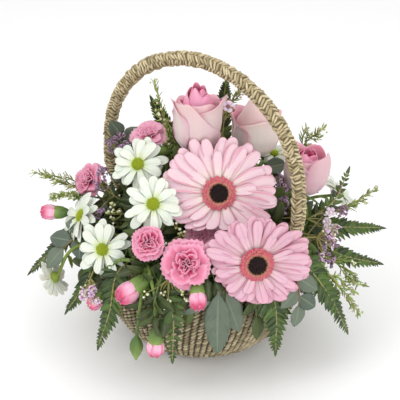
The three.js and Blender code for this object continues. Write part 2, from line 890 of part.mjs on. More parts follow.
function carnationGreen(heads, budList, hub, root, greenBud) {
  const parts = [stem([hub, root], 2.4, 2.2, 2)];
  for (const { at, dir, r } of heads) {
    const length = r * 0.95;
    parts.push(calyx(at, dir, r, length));
    const foot = calyxFoot(at, dir, r, length);
    parts.push(stem([foot, foot.clone().lerp(hub, 0.5).add(V(0, 0, 3)), hub], 2.2, 2, 2, 3));
  }
  for (const { at, dir, s, over } of budList) {
    parts.push(budCalyx(at, dir, s));
    parts.push(stem([budFoot(at, dir, s), ...(over ? [over] : []), hub], 2, 1.7, 3, 3));
  }
  if (greenBud) {
    const { at, dir, over } = greenBud;
    const bud = turned(
      [
        [1.4, -12],
        [5.2, -4],
        [4.6, 6],
        [1, 13],
      ],
      6,
    );
    parts.push(facing(bud, at, dir));
    parts.push(stem([at.clone().addScaledVector(dir, -10), over, hub], 1.9, 1.6, 3, 3));
  }
  return Manifold.union(parts);
}

const sprays = {
  front: {
    heads: [carnations.left, carnations.middle, carnations.shaded],
    buds: [buds[2]],
    hub: V(-30, -80, 130),
    root: V(-14, -50, 112),
  },
  low: {
    heads: [],
    buds: [
      { ...buds[1], over: V(-50, -96, 121) },
      { ...buds[3], over: V(-43, -120, 108) },
      { ...buds[4], over: V(-80, -80, 123) },
    ],
    hub: V(-52, -88, 126),
    root: V(-38, -62, 120),
    greenBud: { at: V(-62, -118, 52), dir: V(-0.05, -0.1, -0.99), over: V(-57, -118, 98) },
  },
  left: { heads: [carnations.far], buds: [buds[0]], hub: V(-90, 8, 126), root: V(-60, 4, 115) },
  high: { heads: [carnations.high], buds: [], hub: V(-44, 8, 168), root: V(-34, 6, 108) },
  back: { heads: [carnations.back], buds: [], hub: V(26, 70, 134), root: V(18, 50, 112) },
};
for (const [name, { heads, buds: held, hub, root, greenBud }] of Object.entries(sprays)) {
  flower("carnation_green_" + name, GREEN, 0.65, () => carnationGreen(heads, held, hub, root, greenBud));
}
for (const [name, { at, dir, spin, r, seed }] of Object.entries(carnations)) {
  flower("carnation_" + name, 0xe16491, 0.6, () => carnationBloom(at, dir, spin, r, seed));
}
buds.forEach(({ at, dir, s, seed }, i) => {
  flower("carnation_bud_" + (i + 1), 0xe67fa8, 0.6, () => budTip(at, dir, seed, s));
});

const daisies = {
  upper: { at: V(-61, -26, 197), dir: V(-0.2, -0.75, 0.6), spin: 0.1, r: 27, count: 12, seed: 41 },
  middle: { at: V(-45, -72, 179), dir: V(-0.1, -0.8, 0.55), spin: 0.5, r: 27, count: 12, seed: 42 },
  lower: { at: V(-94, -67, 128), dir: V(-0.3, -0.85, 0.4), spin: 0.9, r: 27, count: 12, seed: 43 },
  side: { at: V(-119, -22, 139), dir: V(-0.85, -0.2, 0.5), spin: 0.2, r: 24, count: 12, seed: 44 },
  drooping: { at: V(-148, -42, 80), dir: V(-0.8, 0.2, -0.5), spin: 0.3, r: 20, count: 12, seed: 45 },
  right: { at: V(138, 28, 144), dir: V(0.7, 0.3, 0.6), spin: 0.6, r: 20, count: 12, seed: 46 },
  back: { at: V(-52, 88, 150), dir: V(-0.4, 0.75, 0.5), spin: 0.4, r: 25, count: 12, seed: 47 },
};
const daisySprays = {
  high: { heads: ["upper", "middle"], hub: V(-40, -36, 142), root: V(-30, -28, 108) },
  left: { heads: ["lower", "side", "drooping"], hub: V(-88, -34, 124), root: V(-58, -22, 114) },
  right: { heads: ["right"], hub: V(90, 20, 126), root: V(60, 14, 114) },
  back: { heads: ["back"], hub: V(-42, 68, 136), root: V(-30, 50, 112) },
};
for (const [name, { heads, hub, root }] of Object.entries(daisySprays)) {
  flower("daisy_green_" + name, 0x96a51e, 0.65, () =>
    Manifold.union([
      stem([hub, root], 2.1, 1.9, 2),
      ...heads.flatMap((key) => {
        const { at, dir } = daisies[key];
        const foot = daisyFoot(at, dir);
        const drop = key === "drooping" ? V(-128, -42, 112) : foot.clone().lerp(hub, 0.5).add(V(0, 0, 4));
        return [daisyHeart(at, dir), stem([foot, drop, hub], 2, 1.7, 3, 3)];
      }),
    ]),
  );
}
for (const [name, { at, dir, spin, r, count, seed }] of Object.entries(daisies)) {
  flower("daisy_" + name, 0xebeee4, 0.6, () => daisyPetals(at, dir, spin, r, count, seed));
}

// Small filler flowers, feathery sprigs, eucalyptus and fern
const bunch = (name, colour, roughness, entry, inner, parts) =>
  flower(name, colour, roughness, () => rooted(entry, inner, parts(entry)));

bunch("filler_left", 0xbe96c8, 0.7, V(-76, -44, 119), V(-56, -33, 114), (root) => [
  starSpray([root, V(-96, -62, 117), V(-107, -74, 100)], [V(-102, -86, 84), V(-112, -80, 88), V(-104, -84, 94)], {
    seed: 51,
  }),
]);
bunch("filler_right", 0xbe96c8, 0.7, V(78, -24, 129), V(56, -17, 119), (root) => [
  starSpray(
    [root, V(94, -46, 129), V(110, -48, 130)],
    [V(118, -50, 138), V(121, -52, 126), V(114, -60, 114), V(128, -38, 136)],
    { seed: 52 },
  ),
]);
bunch("sprig_top", 0x82964b, 0.7, V(-16, 2, 133), V(-16, 2, 112), (root) => [
  sprig([root, V(-30, 4, 184), V(-34, 4, 214), V(-45, 2, 272)], { forks: 2, seed: 61, from: 0.74 }),
  sprig([root, V(6, 46, 178), V(20, 48, 218), V(36, 34, 250)], { forks: 1, needles: 4, seed: 62 }),
  starSpray([root, V(14, 14, 180), V(21, 3, 232)], [V(24, -5, 247), V(17, 9, 247)], { seed: 53 }),
]);
bunch("sprig_left", 0x82964b, 0.7, V(-80, 30, 127), V(-58, 22, 118), (root) => [
  sprig([root, V(-114, 48, 140), V(-144, 34, 166), V(-170, 8, 176)], { forks: 2, seed: 63 }),
]);
bunch("sprig_right", 0x82964b, 0.7, V(82, 12, 128), V(60, 8, 118), (root) => [
  sprig([root, V(108, 4, 131), V(140, -2, 138), V(175, 4, 155)], { forks: 2, seed: 64 }),
  sprig([root, V(92, 40, 158), V(104, 38, 190), V(122, 26, 213)], { forks: 1, needles: 4, seed: 65 }),
]);
bunch("sprig_low_right", 0x82964b, 0.7, V(78, -36, 118), V(56, -26, 112), (root) => [
  sprig([root, V(104, -48, 117), V(138, -50, 96), V(161, -40, 68)], { forks: 2, seed: 66 }),
  sprig([root, V(106, -62, 114), V(132, -70, 88), V(156, -60, 48)], { forks: 1, needles: 5, seed: 67 }),
]);
bunch("eucalyptus_front", 0x7d9182, 0.6, V(12, -86, 122), V(9, -62, 115), (root) => [
  eucalyptus([root, V(14, -103, 119.5), V(15.5, -113.2, 111), V(16, -114.5, 96)], {
    count: 2,
    half: 12.5,
    length: 57,
    seed: 71,
    from: 0.93,
    lean: 0.42,
    face: V(0.1, -1, 0.2),
  }),
]);
bunch("eucalyptus_left", 0x7d9182, 0.6, V(-84, -14, 121), V(-60, -10, 115), (root) => [
  eucalyptus([root, V(-104, -17, 127), V(-122, -31, 122), V(-138, -36, 110)], {
    count: 4,
    half: 10.5,
    length: 24,
    seed: 72,
    from: 0.3,
    face: V(-0.3, -0.7, 0.7),
  }),
]);
bunch("eucalyptus_right", 0x7d9182, 0.6, V(62, -62, 122), V(46, -46, 115), (root) => [
  eucalyptus([root, V(82, -90, 121), V(87, -110, 108), V(88, -113, 92)], {
    count: 3,
    half: 9,
    length: 24,
    seed: 73,
    from: 0.5,
    face: V(0.4, -0.9, 0.3),
  }),
]);
bunch("eucalyptus_back", 0x7d9182, 0.6, V(-26, 40, 133), V(-22, 34, 112), (root) => [
  eucalyptus([root, V(-60, 34, 160), V(-74, 30, 188), V(-80, 22, 206)], {
    count: 3,
    half: 9,
    length: 22,
    seed: 74,
    face: V(-0.2, -0.9, 0.4),
  }),
]);

// Fern bunches: the point at the foam, the point inside it, and each frond's other points, pairs of
// leaflets, width and the way its upper face looks
const fernBunches = {
  left: [V(-84, 0, 118), V(-62, 0, 112), [
    [[V(-112, 0, 120), V(-142, -10, 102), V(-174, -20, 74)], 7, 17, V(-0.2, -0.5, 1)],
    [[V(-107, -16, 118), V(-126, -50, 92), V(-131, -70, 62)], 6, 15, V(-0.5, -0.6, 0.8)],
  ]],
  front_left: [V(-64, -62, 118), V(-48, -46, 112), [
    [[V(-84, -86, 114), V(-97, -96, 84), V(-99, -100, 42)], 6, 15, V(-0.5, -0.8, 0.4)],
    [[V(-44, -96, 116), V(-28, -124, 98), V(-28, -128, 46)], 6, 17, V(0, -1, 0.3)],
  ]],
  front_right: [V(50, -72, 120), V(38, -54, 114), [
    [[V(58, -99, 119), V(68, -107, 92), V(68, -118, 52)], 6, 16, V(0.3, -1, 0.3)],
    [[V(92, -74, 117), V(120, -82, 86), V(141, -78, 42)], 7, 19, V(0.6, -0.8, 0.5)],
  ]],
  right: [V(84, -10, 123), V(62, -8, 117), [
    [[V(108, -16, 124), V(142, -18, 124), V(178, -12, 120)], 7, 17, V(0.1, -0.5, 1)],
    [[V(108, -34, 117), V(140, -44, 106), V(173, -40, 96)], 6, 15, V(0.3, -0.6, 0.9)],
    [[V(110, -22, 140), V(128, -24, 158), V(140, -14, 182)], 4, 9, V(0.2, -0.9, 0.4)],
  ]],
  back: [V(0, 84, 123), V(0, 62, 117), [
    [[V(-6, 110, 122), V(-12, 130, 108), V(-14, 142, 72)], 6, 18, V(0, 0.8, 0.6)],
    [[V(48, 104, 124), V(84, 116, 114), V(104, 122, 84)], 6, 17, V(0.4, 0.7, 0.6)],
    [[V(-56, 102, 124), V(-92, 110, 114), V(-114, 112, 84)], 6, 17, V(-0.4, 0.7, 0.6)],
  ]],
  high_back: [V(10, 50, 133), V(8, 42, 112), [
    [[V(16, 66, 172), V(20, 72, 210), V(24, 68, 244)], 7, 16, V(0, -0.9, 0.2)],
    [[V(-20, 56, 168), V(-38, 56, 202), V(-50, 48, 232)], 6, 14, V(0, -0.9, 0.2)],
  ]],
};
Object.entries(fernBunches).forEach(([name, [entry, inner, list]], n) => {
  bunch("fern_" + name, FERN, 0.6, entry, inner, (root) =>
    list.map(([points, pairs, width, face], i) =>
      frond([root, ...points], { pairs, width, face, seed: 81 + 5 * n + i, bare: 0.3 }),
    ),
  );
});

// The foam comes last: the stems' own shapes are its holes
piece("floral_foam", 0x3f5c3a, 0.95, foamBlock);

const overlapping = (a, b) => range(3).every((i) => a.min[i] < b.max[i] && b.min[i] < a.max[i]);
const group = new THREE.Group();
group.name = "flower_basket_arrangement";
const placed = [];
for (const { name, colour, roughness, make } of pieces) {
  let solid = make();
  const box = solid.boundingBox();
  const near = placed.filter((other) => overlapping(box, other.box));
  if (near.length) solid = solid.subtract(Manifold.union(near.map((other) => other.grown)));
  solid = largest(solid.simplify(SMALLEST));
  grow = GAP;
  const grown = make();
  grow = 0;
  placed.push({ box: grown.boundingBox(), grown });
  const { vertProperties, triVerts, numProp } = solid.getMesh();
  const corners = new Float32Array(triVerts.length * 3);
  triVerts.forEach((v, i) => {
    corners.set(vertProperties.subarray(v * numProp, v * numProp + 3), i * 3);
  });
  const geometry = new THREE.BufferGeometry();
  geometry.setAttribute("position", new THREE.BufferAttribute(corners, 3));
  geometry.computeVertexNormals();
  const mesh = new THREE.Mesh(
    geometry,
    new THREE.MeshStandardMaterial({ color: colour, roughness, metalness: 0, name }),
  );
  mesh.name = name;
  group.add(mesh);
}

export default group;
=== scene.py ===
import math

import bpy
import numpy as np
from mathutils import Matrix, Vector


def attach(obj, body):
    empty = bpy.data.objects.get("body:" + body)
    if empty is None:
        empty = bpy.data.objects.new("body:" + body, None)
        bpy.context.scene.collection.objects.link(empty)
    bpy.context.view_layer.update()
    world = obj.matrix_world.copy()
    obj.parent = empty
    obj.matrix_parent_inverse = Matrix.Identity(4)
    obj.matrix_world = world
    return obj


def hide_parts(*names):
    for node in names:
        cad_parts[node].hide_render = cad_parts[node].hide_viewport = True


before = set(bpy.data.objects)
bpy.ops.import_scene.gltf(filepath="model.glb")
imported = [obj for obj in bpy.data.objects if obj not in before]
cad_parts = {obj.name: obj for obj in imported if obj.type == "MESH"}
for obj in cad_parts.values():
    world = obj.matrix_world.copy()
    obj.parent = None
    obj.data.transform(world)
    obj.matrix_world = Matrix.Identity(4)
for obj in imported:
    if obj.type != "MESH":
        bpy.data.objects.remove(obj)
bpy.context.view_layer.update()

FRONT = math.radians(35)
ELEVATION = math.radians(28)
DISTANCE = 0.9
right = Vector((math.cos(FRONT), math.sin(FRONT), 0))
target = Vector((0, 0, 0.145)) - right * 0.0025
back = Vector(
    (math.sin(FRONT) * math.cos(ELEVATION), -math.cos(FRONT) * math.cos(ELEVATION), math.sin(ELEVATION))
)
camera = bpy.data.objects.new("camera", bpy.data.cameras.new("camera"))
bpy.context.scene.collection.objects.link(camera)
bpy.context.scene.camera = camera
camera.data.sensor_width = 36
camera.data.lens = 81
camera.location = target + back * DISTANCE
camera.rotation_euler = (-back).to_track_quat("-Z", "Y").to_euler()

# The studio: one matt white table top that runs on out of view, under a soft pale sky.
# Three large soft lamps light it from the left front, from the right and from above.
bpy.ops.mesh.primitive_plane_add(size=12, location=(0, 0, -0.0002))
floor = bpy.context.object
floor.name = "floor"
paper = bpy.data.materials.new("table_top")
paper.use_nodes = True
surface = paper.node_tree.nodes["Principled BSDF"]
surface.inputs["Base Color"].default_value = (0.92, 0.92, 0.92, 1)
surface.inputs["Roughness"].default_value = 0.7
floor.data.materials.append(paper)
world = bpy.data.worlds.new("world")
world.use_nodes = True
sky = world.node_tree.nodes["Background"]
sky.inputs["Color"].default_value = (1, 1, 1, 1)
sky.inputs["Strength"].default_value = 0.92
bpy.context.scene.world = world
bpy.context.scene.view_settings.view_transform = "Standard"
for name, place, size, power in (
    ("key", Vector((-0.5, -1.2, 1.5)), 0.9, 8),
    ("fill", Vector((1.4, -0.9, 0.6)), 1.2, 9),
    ("top", Vector((0.1, 0.3, 1.8)), 1.2, 5),
):
    lamp = bpy.data.lights.new(name, "AREA")
    lamp.energy = power
    lamp.size = size
    holder = bpy.data.objects.new(name, lamp)
    bpy.context.scene.collection.objects.link(holder)
    holder.location = place
    holder.rotation_euler = (Vector((0, 0, 0.12)) - place).to_track_quat("-Z", "Y").to_euler()


# The basket: a round bowl of seagrass, twined row on row round upright stakes, grey-tan, with painted shade
# in the gaps between the strands.
# Its rim and hoop handle are plaited from the same grass over a core.
class Form:
    """Curved grids of points in millimetres, x right, y away and z up as seen from the front, kept as one
    mesh. Each point keeps its place on its grid and two numbers from 0 to 1, pick and tone, to colour it."""

    def __init__(self):
        self.points, self.quads, self.place, self.tone, self.count = [], [], [], [], 0

    def add(self, grids, pick=0.0, tone=0.0, closed=False):
        """Take one grid or several alike; the last column of a closed one joins its first."""
        grids = np.asarray(grids, float)
        grids = grids[None] if grids.ndim == 3 else grids
        n, rows, cols = grids.shape[:3]
        index = self.count + np.arange(n * rows * cols).reshape(n, rows, cols)
        if closed:
            index = np.concatenate([index, index[:, :, :1]], 2)[:, :, ::-1]
            across = 1 - np.abs(2 * np.arange(cols) / cols - 1)
        else:
            across = np.linspace(0, 1, cols)
        corners = [index[:, :-1, :-1], index[:, 1:, :-1], index[:, 1:, 1:], index[:, :-1, 1:]]
        self.quads.append(np.stack(corners, -1).reshape(-1, 4))
        self.points.append(grids.reshape(-1, 3))
        place = np.empty((n, rows, cols, 2))
        place[..., 0] = across
        place[..., 1] = np.linspace(0, 1, rows)[:, None]
        self.place.append(place.reshape(-1, 2))
        extra = np.empty((n, rows, cols, 2))
        for k, value in enumerate((pick, tone)):
            value = np.asarray(value, float)
            extra[..., k] = value.reshape(-1, 1, 1) if value.ndim < 2 else value
        self.tone.append(extra.reshape(-1, 2))
        self.count += n * rows * cols

    def build(self, name, materials, nodes, slot, thick=0.0, turned=True):
        """Make the mesh with its skins, and hide the CAD pieces it stands in for; its slot, for what it's
        made of, is not used.
        """
        points = np.concatenate(self.points) / 1000
        if turned:
            c, s = math.cos(FRONT), math.sin(FRONT)
            points = points @ np.array([[c, s, 0], [-s, c, 0], [0, 0, 1]])
        quads = np.concatenate(self.quads)
        mesh = bpy.data.meshes.new(name)
        mesh.vertices.add(len(points))
        mesh.vertices.foreach_set("co", points.astype(np.float32).ravel())
        mesh.loops.add(quads.size)
        mesh.loops.foreach_set("vertex_index", quads.astype(np.int32).ravel())
        mesh.polygons.add(len(quads))
        mesh.polygons.foreach_set("loop_start", np.arange(0, quads.size, 4, dtype=np.int32))
        mesh.polygons.foreach_set("use_smooth", np.ones(len(quads), bool))
        for layer, values in (("place", self.place), ("tone", self.tone)):
            uv = mesh.uv_layers.new(name=layer)
            uv.data.foreach_set("uv", np.concatenate(values)[quads.ravel()].astype(np.float32).ravel())
        mesh.update(calc_edges=True)
        piece = bpy.data.objects.new(name, mesh)
        bpy.context.scene.collection.objects.link(piece)
        for material in materials:
            mesh.materials.append(material)
        if thick:
            shell = piece.modifiers.new("thickness", "SOLIDIFY")
            shell.thickness = thick / 1000
            shell.offset = -1
            shell.material_offset = len(materials) - 1
        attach(piece, "root")
        if nodes:
            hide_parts(*nodes)


class Wire:
    """A shader value that adds, subtracts and multiplies as a number does."""

    def __init__(self, shader, socket):
        self.shader, self.socket = shader, socket

    def math(self, operation, *values):
        return self.shader.node("ShaderNodeMath", {"operation": operation}, dict(enumerate(values)))

    def __add__(self, other):
        return self.math("ADD", self, other)

    __radd__ = __add__

    def __sub__(self, other):
        return self.math("SUBTRACT", self, other)

    def __rsub__(self, other):
        return self.math("SUBTRACT", other, self)

    def __mul__(self, other):
        return self.math("MULTIPLY", self, other)

    __rmul__ = __mul__

    def __abs__(self):
        return self.math("ABSOLUTE", self)

    def sine(self):
        return self.math("SINE", self)

    def ramp(self, low, high):
        """0 below low and 1 above high, smooth between."""
        settings = {"interpolation_type": "SMOOTHSTEP"}
        links = {"Value": self, "From Min": low, "From Max": high}
        return self.shader.node("ShaderNodeMapRange", settings, links)


def srgb(colour):
    """A colour given as on a screen, from 0 to 255, for a shader."""
    return tuple(((v / 255 + 0.055) / 1.055) ** 2.4 if v > 10 else v / 3295 for v in colour) + (1.0,)


class Shader:
    """One procedural material on a Principled surface."""

    def __init__(self, name, **constants):
        self.material = bpy.data.materials.new(name)
        self.material.use_nodes = True
        self.tree = self.material.node_tree
        self.surface = self.tree.nodes["Principled BSDF"]
        for key, value in constants.items():
            self.surface.inputs[key.replace("_", " ")].default_value = value

    def node(self, kind, settings=None, links=None, out=0):
        """Add a node with its settings and what feeds it, and give one of its outputs."""
        node = self.tree.nodes.new(kind)
        for key, value in (settings or {}).items():
            setattr(node, key, value)
        for key, value in (links or {}).items():
            self.join(node.inputs[key], value)
        return Wire(self, node.outputs[out])

    def join(self, socket, value):
        """Feed an input from a wire, or set it to a fixed value."""
        if isinstance(value, Wire):
            self.tree.links.new(value.socket, socket)
        else:
            socket.default_value = value

    def grid(self):
        """How far across and along its grid a point lies, and its pick and tone."""
        numbers = []
        for layer in ("place", "tone"):
            spread = self.node("ShaderNodeUVMap", {"uv_map": layer})
            split = self.node("ShaderNodeSeparateXYZ", {}, {0: spread})
            numbers += [split, Wire(self, split.socket.node.outputs[1])]
        return numbers

    def noise(self, scale, detail=3.0, stretch=(1, 1, 1)):
        """Cloudy random values all through the piece, drawn out where an axis has a low stretch."""
        where = self.node("ShaderNodeTexCoord", out=3)
        where = self.node("ShaderNodeVectorMath", {"operation": "MULTIPLY"}, {0: where, 1: stretch})
        return self.node("ShaderNodeTexNoise", {}, {"Vector": where, "Scale": scale, "Detail": detail})

    def mix(self, first, second, share):
        """The first colour where the share is 0 and the second where it is 1."""
        links = {0: share}
        for key, colour in ((6, first), (7, second)):
            links[key] = srgb(colour) if isinstance(colour, tuple) else colour
        return self.node("ShaderNodeMix", {"data_type": "RGBA"}, links, 2)

    def finish(self, colour, rough, bump, strength, depth):
        """Join colour, roughness and a bump, whose depth is in millimetres, to the surface."""
        self.join(self.surface.inputs["Base Color"], colour)
        self.join(self.surface.inputs["Roughness"], rough)
        links = {"Height": bump, "Strength": strength, "Distance": depth / 1000}
        self.join(self.surface.inputs["Normal"], self.node("ShaderNodeBump", {}, links))
        return self.material


def seagrass(name, light, mid, dark):
    """Dried grass: a tint for each strand, fine fibres, and painted shade in the hollows between the strands.
    """
    s = Shader(name)
    across, _, pick, lift = s.grid()
    fibre = s.noise(900, 2, (1, 1, 0.35))
    patch = s.noise(45, 3)
    body = s.mix(mid, light, (pick * 0.75 + patch * 0.5 - 0.2).ramp(0.1, 0.9))
    body = s.mix(body, (126, 122, 84), (pick * 7.3).sine().ramp(0.75, 1.0) * 0.5)
    body = s.mix(body, dark, (fibre - 0.35).ramp(0.1, 0.4) * 0.28)
    # painted shade: where a strand's tone, its lift, falls to 0 at its ends and sides, and on the bare core,
    # the grass goes to the dark colour
    body = s.mix(dark, body, lift.ramp(0.0, 0.75))
    ridges = abs((across * 14).sine()) * 0.5 + fibre
    return s.finish(body, 0.86 - fibre * 0.12, ridges, 0.5, 0.4)


def strands(surface, angle, along, slant, length, width, height):
    """One bean-shaped bulge of grass for each angle and place along, lying at its slant on a surface."""
    s = np.linspace(-1, 1, 5)[None, :, None]
    q = np.linspace(-1, 1, 4)[None, None, :]
    angle, along, slant, length, width, height = (
        np.broadcast_to(np.asarray(v, float).reshape(-1, 1, 1), (np.size(angle), 1, 1))
        for v in (angle, along, slant, length, width, height)
    )
    taper = np.sqrt(1 - 0.8 * s * s)
    side = s * length * np.cos(slant) - q * width * taper * np.sin(slant)
    up = s * length * np.sin(slant) + q * width * taper * np.cos(slant)
    lift = np.sqrt(1 - 0.9 * s * s) * np.cos(q * math.pi / 2)
    return surface(angle, side, along + up, height * lift), np.broadcast_to(lift, side.shape)


def units(rows):
    """Rows of vectors, each drawn out or in to a length of one."""
    return rows / np.linalg.norm(rows, axis=1, keepdims=True)


def strides(line):
    """How far each point of a line lies from the next."""
    return np.linalg.norm(np.diff(line, axis=0), axis=1)


def lathe(profile, sides):
    """A profile of radius and height, turned round the upright axis."""
    profile = np.asarray(profile, float)
    turn = np.arange(sides) * 2 * math.pi / sides
    wide, high = profile[:, :1], np.repeat(profile[:, 1:], sides, 1)
    return np.stack([wide * np.cos(turn), wide * np.sin(turn), high], -1)


rng = np.random.default_rng(5)
basket_grass = seagrass("basket_grass", (199, 187, 152), (143, 128, 98), (42, 32, 20))
bowl_line = np.array([[62, 0.6], [77, 9], [91, 26], [101, 48], [107, 74], [109, 101]], float)
bowl_line[:, 0] -= 1.6
steps = np.concatenate([[0], np.cumsum(strides(bowl_line))])
fine = np.linspace(0, steps[-1], 90)
soft = np.ones(9) / 9
padded = [np.pad(np.interp(fine, steps, v), 4, "reflect", reflect_type="odd") for v in bowl_line.T]
smooth_line = np.stack([np.convolve(v, soft, "valid") for v in padded], 1)
smooth_slope = units(np.gradient(smooth_line, axis=0))


def on_bowl(angle, side, along, lift):
    """Where a point lies that is so far round, aside, up along and above the bowl's skin."""
    r, z, dr, dz = (np.interp(along, fine, values) for values in (*smooth_line.T, *smooth_slope.T))
    turn = angle + side / r
    reach = r + lift * dz
    return np.stack([reach * np.cos(turn), reach * np.sin(turn), np.maximum(z - lift * dr, 0.15)], -1)


STAKES = 100
ROW = 4.7
weave_rows = np.arange(1.6, steps[-1] + 1, ROW)
row_angle = np.arange(STAKES) * 2 * math.pi / STAKES
angles, alongs = (v.ravel() for v in np.meshgrid(row_angle, weave_rows))
angles = angles + np.floor(alongs / ROW) * 0.006
pitch = 2 * math.pi * np.interp(alongs, fine, smooth_line[:, 0]) / STAKES
weave = Form()
grid, lift = strands(
    on_bowl,
    angles,
    alongs + rng.normal(0, 0.12, len(angles)),
    0.72 + rng.normal(0, 0.12, len(angles)),
    pitch * 0.66,
    1.9,
    2.6 + rng.normal(0, 0.25, len(angles)),
)
# each strand's lift is also its tone, so the grass paints shade where it sinks between its neighbours
weave.add(grid, rng.random(len(angles)), lift)
weave.build("basket_weave", [basket_grass], ["basket"], "basket_weave", turned=False)

bowl = Form()
inner_line = np.array([[107.4, 101], [102, 101], [99.5, 70], [89, 34], [66, 7], [1, 7]], float)
bottom_line = np.array([[1, 0.1], [40, 0.1], [58, 0.1]], float)
profile = np.concatenate([bottom_line, smooth_line, inner_line])
# the core's low tone paints it in shade where it shows between the strands
bowl.add(lathe(profile, 96), 0.3, 0.25, closed=True)
bowl.build("basket_core", [basket_grass], (), "basket_weave", turned=False)

plait_grass = seagrass("plait_grass", (218, 203, 165), (177, 160, 121), (77, 62, 39))


def plait(name, line, radius, nodes, columns, pitch):
    """Grass plaited round a core that follows a line: slanted strands in columns that lean in turn."""
    line = np.asarray(line, float)
    lengths = np.concatenate([[0], np.cumsum(strides(line))])
    along = units(np.gradient(line, axis=0))
    flat = np.array([0.0, 0.0, 1.0]) if abs(along[:, 2]).max() < 0.1 else np.array([0.0, 1.0, 0.0])
    other = np.cross(along, flat)

    def on_core(angle, side, at, lift):
        """Where a point lies that is so far round, aside, along and above the core."""
        point, out, core = (
            np.stack([np.interp(at, lengths, values[:, k]) for k in range(values.shape[1])], -1)
            for values in (line, other, radius[:, None])
        )
        reach = core[..., 0] + lift
        turn = angle + side / reach
        return point + out * (reach * np.cos(turn))[..., None] + flat * (reach * np.sin(turn))[..., None]

    rows = np.arange(0.5, lengths[-1] / pitch) * pitch
    column, at = (v.ravel() for v in np.meshgrid(np.arange(columns), rows))
    at = at + (column % 2) * pitch * 0.5
    keep = at < lengths[-1]
    column, at = column[keep], at[keep]
    lean = np.where(column % 2, 1, -1) * 0.42 + rng.normal(0, 0.24, len(at))
    width = 2 * math.pi * np.interp(at, lengths, radius) / columns
    at = at + rng.normal(0, 0.45, len(at))
    high = rng.uniform(1.0, 3.0, len(at))
    width = width * rng.uniform(0.78, 1.08, len(at))
    grid, lift = strands(on_core, column * 2 * math.pi / columns, at, lean, width, pitch * 0.46, high)
    form = Form()
    # each strand's lift is also its tone, so the grass paints shade where it sinks between its neighbours
    form.add(grid, rng.random(len(at)), lift)
    rings, sides = 160, 12
    turn = np.arange(sides) * 2 * math.pi / sides
    stations = np.linspace(0, lengths[-1], rings)
    core = on_core(turn[None, :], np.zeros((rings, sides)), np.repeat(stations[:, None], sides, 1), 0.5)
    # the core's low tone paints it in shade where it shows between the strands
    form.add(core[:, ::-1], 0.3, 0.2, closed=True)
    form.build(name, [plait_grass], nodes, "seagrass", turned=False)


def curve(points, at):
    """Points at the given shares of a smooth line through some points."""
    p = np.asarray(points, float)
    ends = np.vstack([2 * p[0] - p[1], p, 2 * p[-1] - p[-2]])
    at = np.asarray(at, float) * (len(p) - 1)
    i = np.clip(at.astype(int), 0, len(p) - 2)
    w = (at - i)[:, None]
    a, b, c, d = ends[i], ends[i + 1], ends[i + 2], ends[i + 3]
    ab, bc, cd = (np.sqrt(np.linalg.norm(v, axis=1, keepdims=True)) for v in (b - a, c - b, d - c))
    start = ((b - a) / ab - (c - a) / (ab + bc) + (c - b) / bc) * bc
    end = ((c - b) / bc - (d - b) / (bc + cd) + (d - c) / cd) * bc
    return b + start * w + (3 * c - 3 * b - 2 * start - end) * w**2 + (2 * b - 2 * c + start + end) * w**3


rim_radius, rim_height, rim_core = 105.5, 107.0, 3.9
turn = np.linspace(0, 2 * math.pi, 241)
rim_line = np.stack([rim_radius * np.cos(turn), rim_radius * np.sin(turn), np.full(241, rim_height)], 1)
plait("rim_plait", rim_line, np.full(241, rim_core), ["basket_rim"], 6, 4.6)

hoop_middle, hoop_reach, hoop_shoulder, hoop_rise = -5, 113, 178, 112
arch = [math.radians(angle) for angle in range(0, 181, 12)]
hoop = [[86, 0, 44], [91, 0, 72], [94.8, 0, 106], [102, 0, 128], [108, 0, 154]]
hoop += [[hoop_middle + hoop_reach * math.cos(a), 0, hoop_shoulder + hoop_rise * math.sin(a)] for a in arch]
hoop += [[-118, 0, 154], [-105, 0, 128], [-94.8, 0, 106], [-91, 0, 72], [-86, 0, 44]]
hoop_line = curve(hoop, np.linspace(0, 1, 260))
# its legs are thin inside the basket and thicken above the rim
share = np.clip((hoop_line[:, 2] - 114) / 32, 0, 1)
hoop_core = 2.6 + 2.9 * share * share * (3 - 2 * share)
plait("handle_plait", hoop_line, hoop_core, ["handle"], 6, 3.3)


# The liner and the wet foam: a thin dark film dish, and a block of green floral foam, full of fine pores and
# crumbly at its edges, that every stem stands in. Both are pressed into the basket.
s = Shader("liner_film", Coat_Weight=0.25)
crease = s.noise(60, 4, (1, 1, 0.4))
liner_film = s.finish(s.mix((38, 50, 40), (70, 84, 66), crease), 0.3 + crease * 0.25, crease, 0.6, 1.2)
form = Form()
turn = np.arange(96) * 2 * math.pi / 96
film = lathe(
    [
        [0.5, 7.4], [58, 7.4], [62, 9], [79, 36], [84, 70], [88, 107], [86.9, 107.3], [82.8, 70],
        [77.6, 36.5], [60, 9.6], [57, 8.6], [0.5, 8.6],
    ],
    96,
)
film[:, :, :2] *= 1 + (0.006 * np.sin(17 * turn) * np.clip((film[..., 2] - 60) / 40, 0, 1))[..., None]
form.add(film, closed=True)
form.build("liner_dish", [liner_film], ["liner"], "liner_film", turned=False)

s = Shader("wet_foam")
pores = s.noise(1400, 2)
damp = s.noise(30, 3)
crumb = s.mix((44, 66, 38), (84, 108, 62), damp)
wet_foam = s.finish(s.mix((28, 40, 22), crumb, pores.ramp(0.35, 0.6)), 0.85 - damp * 0.25, pores, 0.8, 0.5)
form = Form()
block = lathe(
    [
        [0.5, 9.6], [57, 9.6], [66, 22], [75, 37], [80, 70], [82, 100], [82, 118], [80, 123], [75, 128],
        [68, 131], [50, 131.2], [25, 131.2], [0.5, 131.2],
    ],
    72,
)
block += np.random.default_rng(6).normal(0, 0.35, block.shape) * (block[..., 2:] > 12)
form.add(block, closed=True)
form.build("foam_block", [wet_foam], ["floral_foam"], "foam", turned=False)


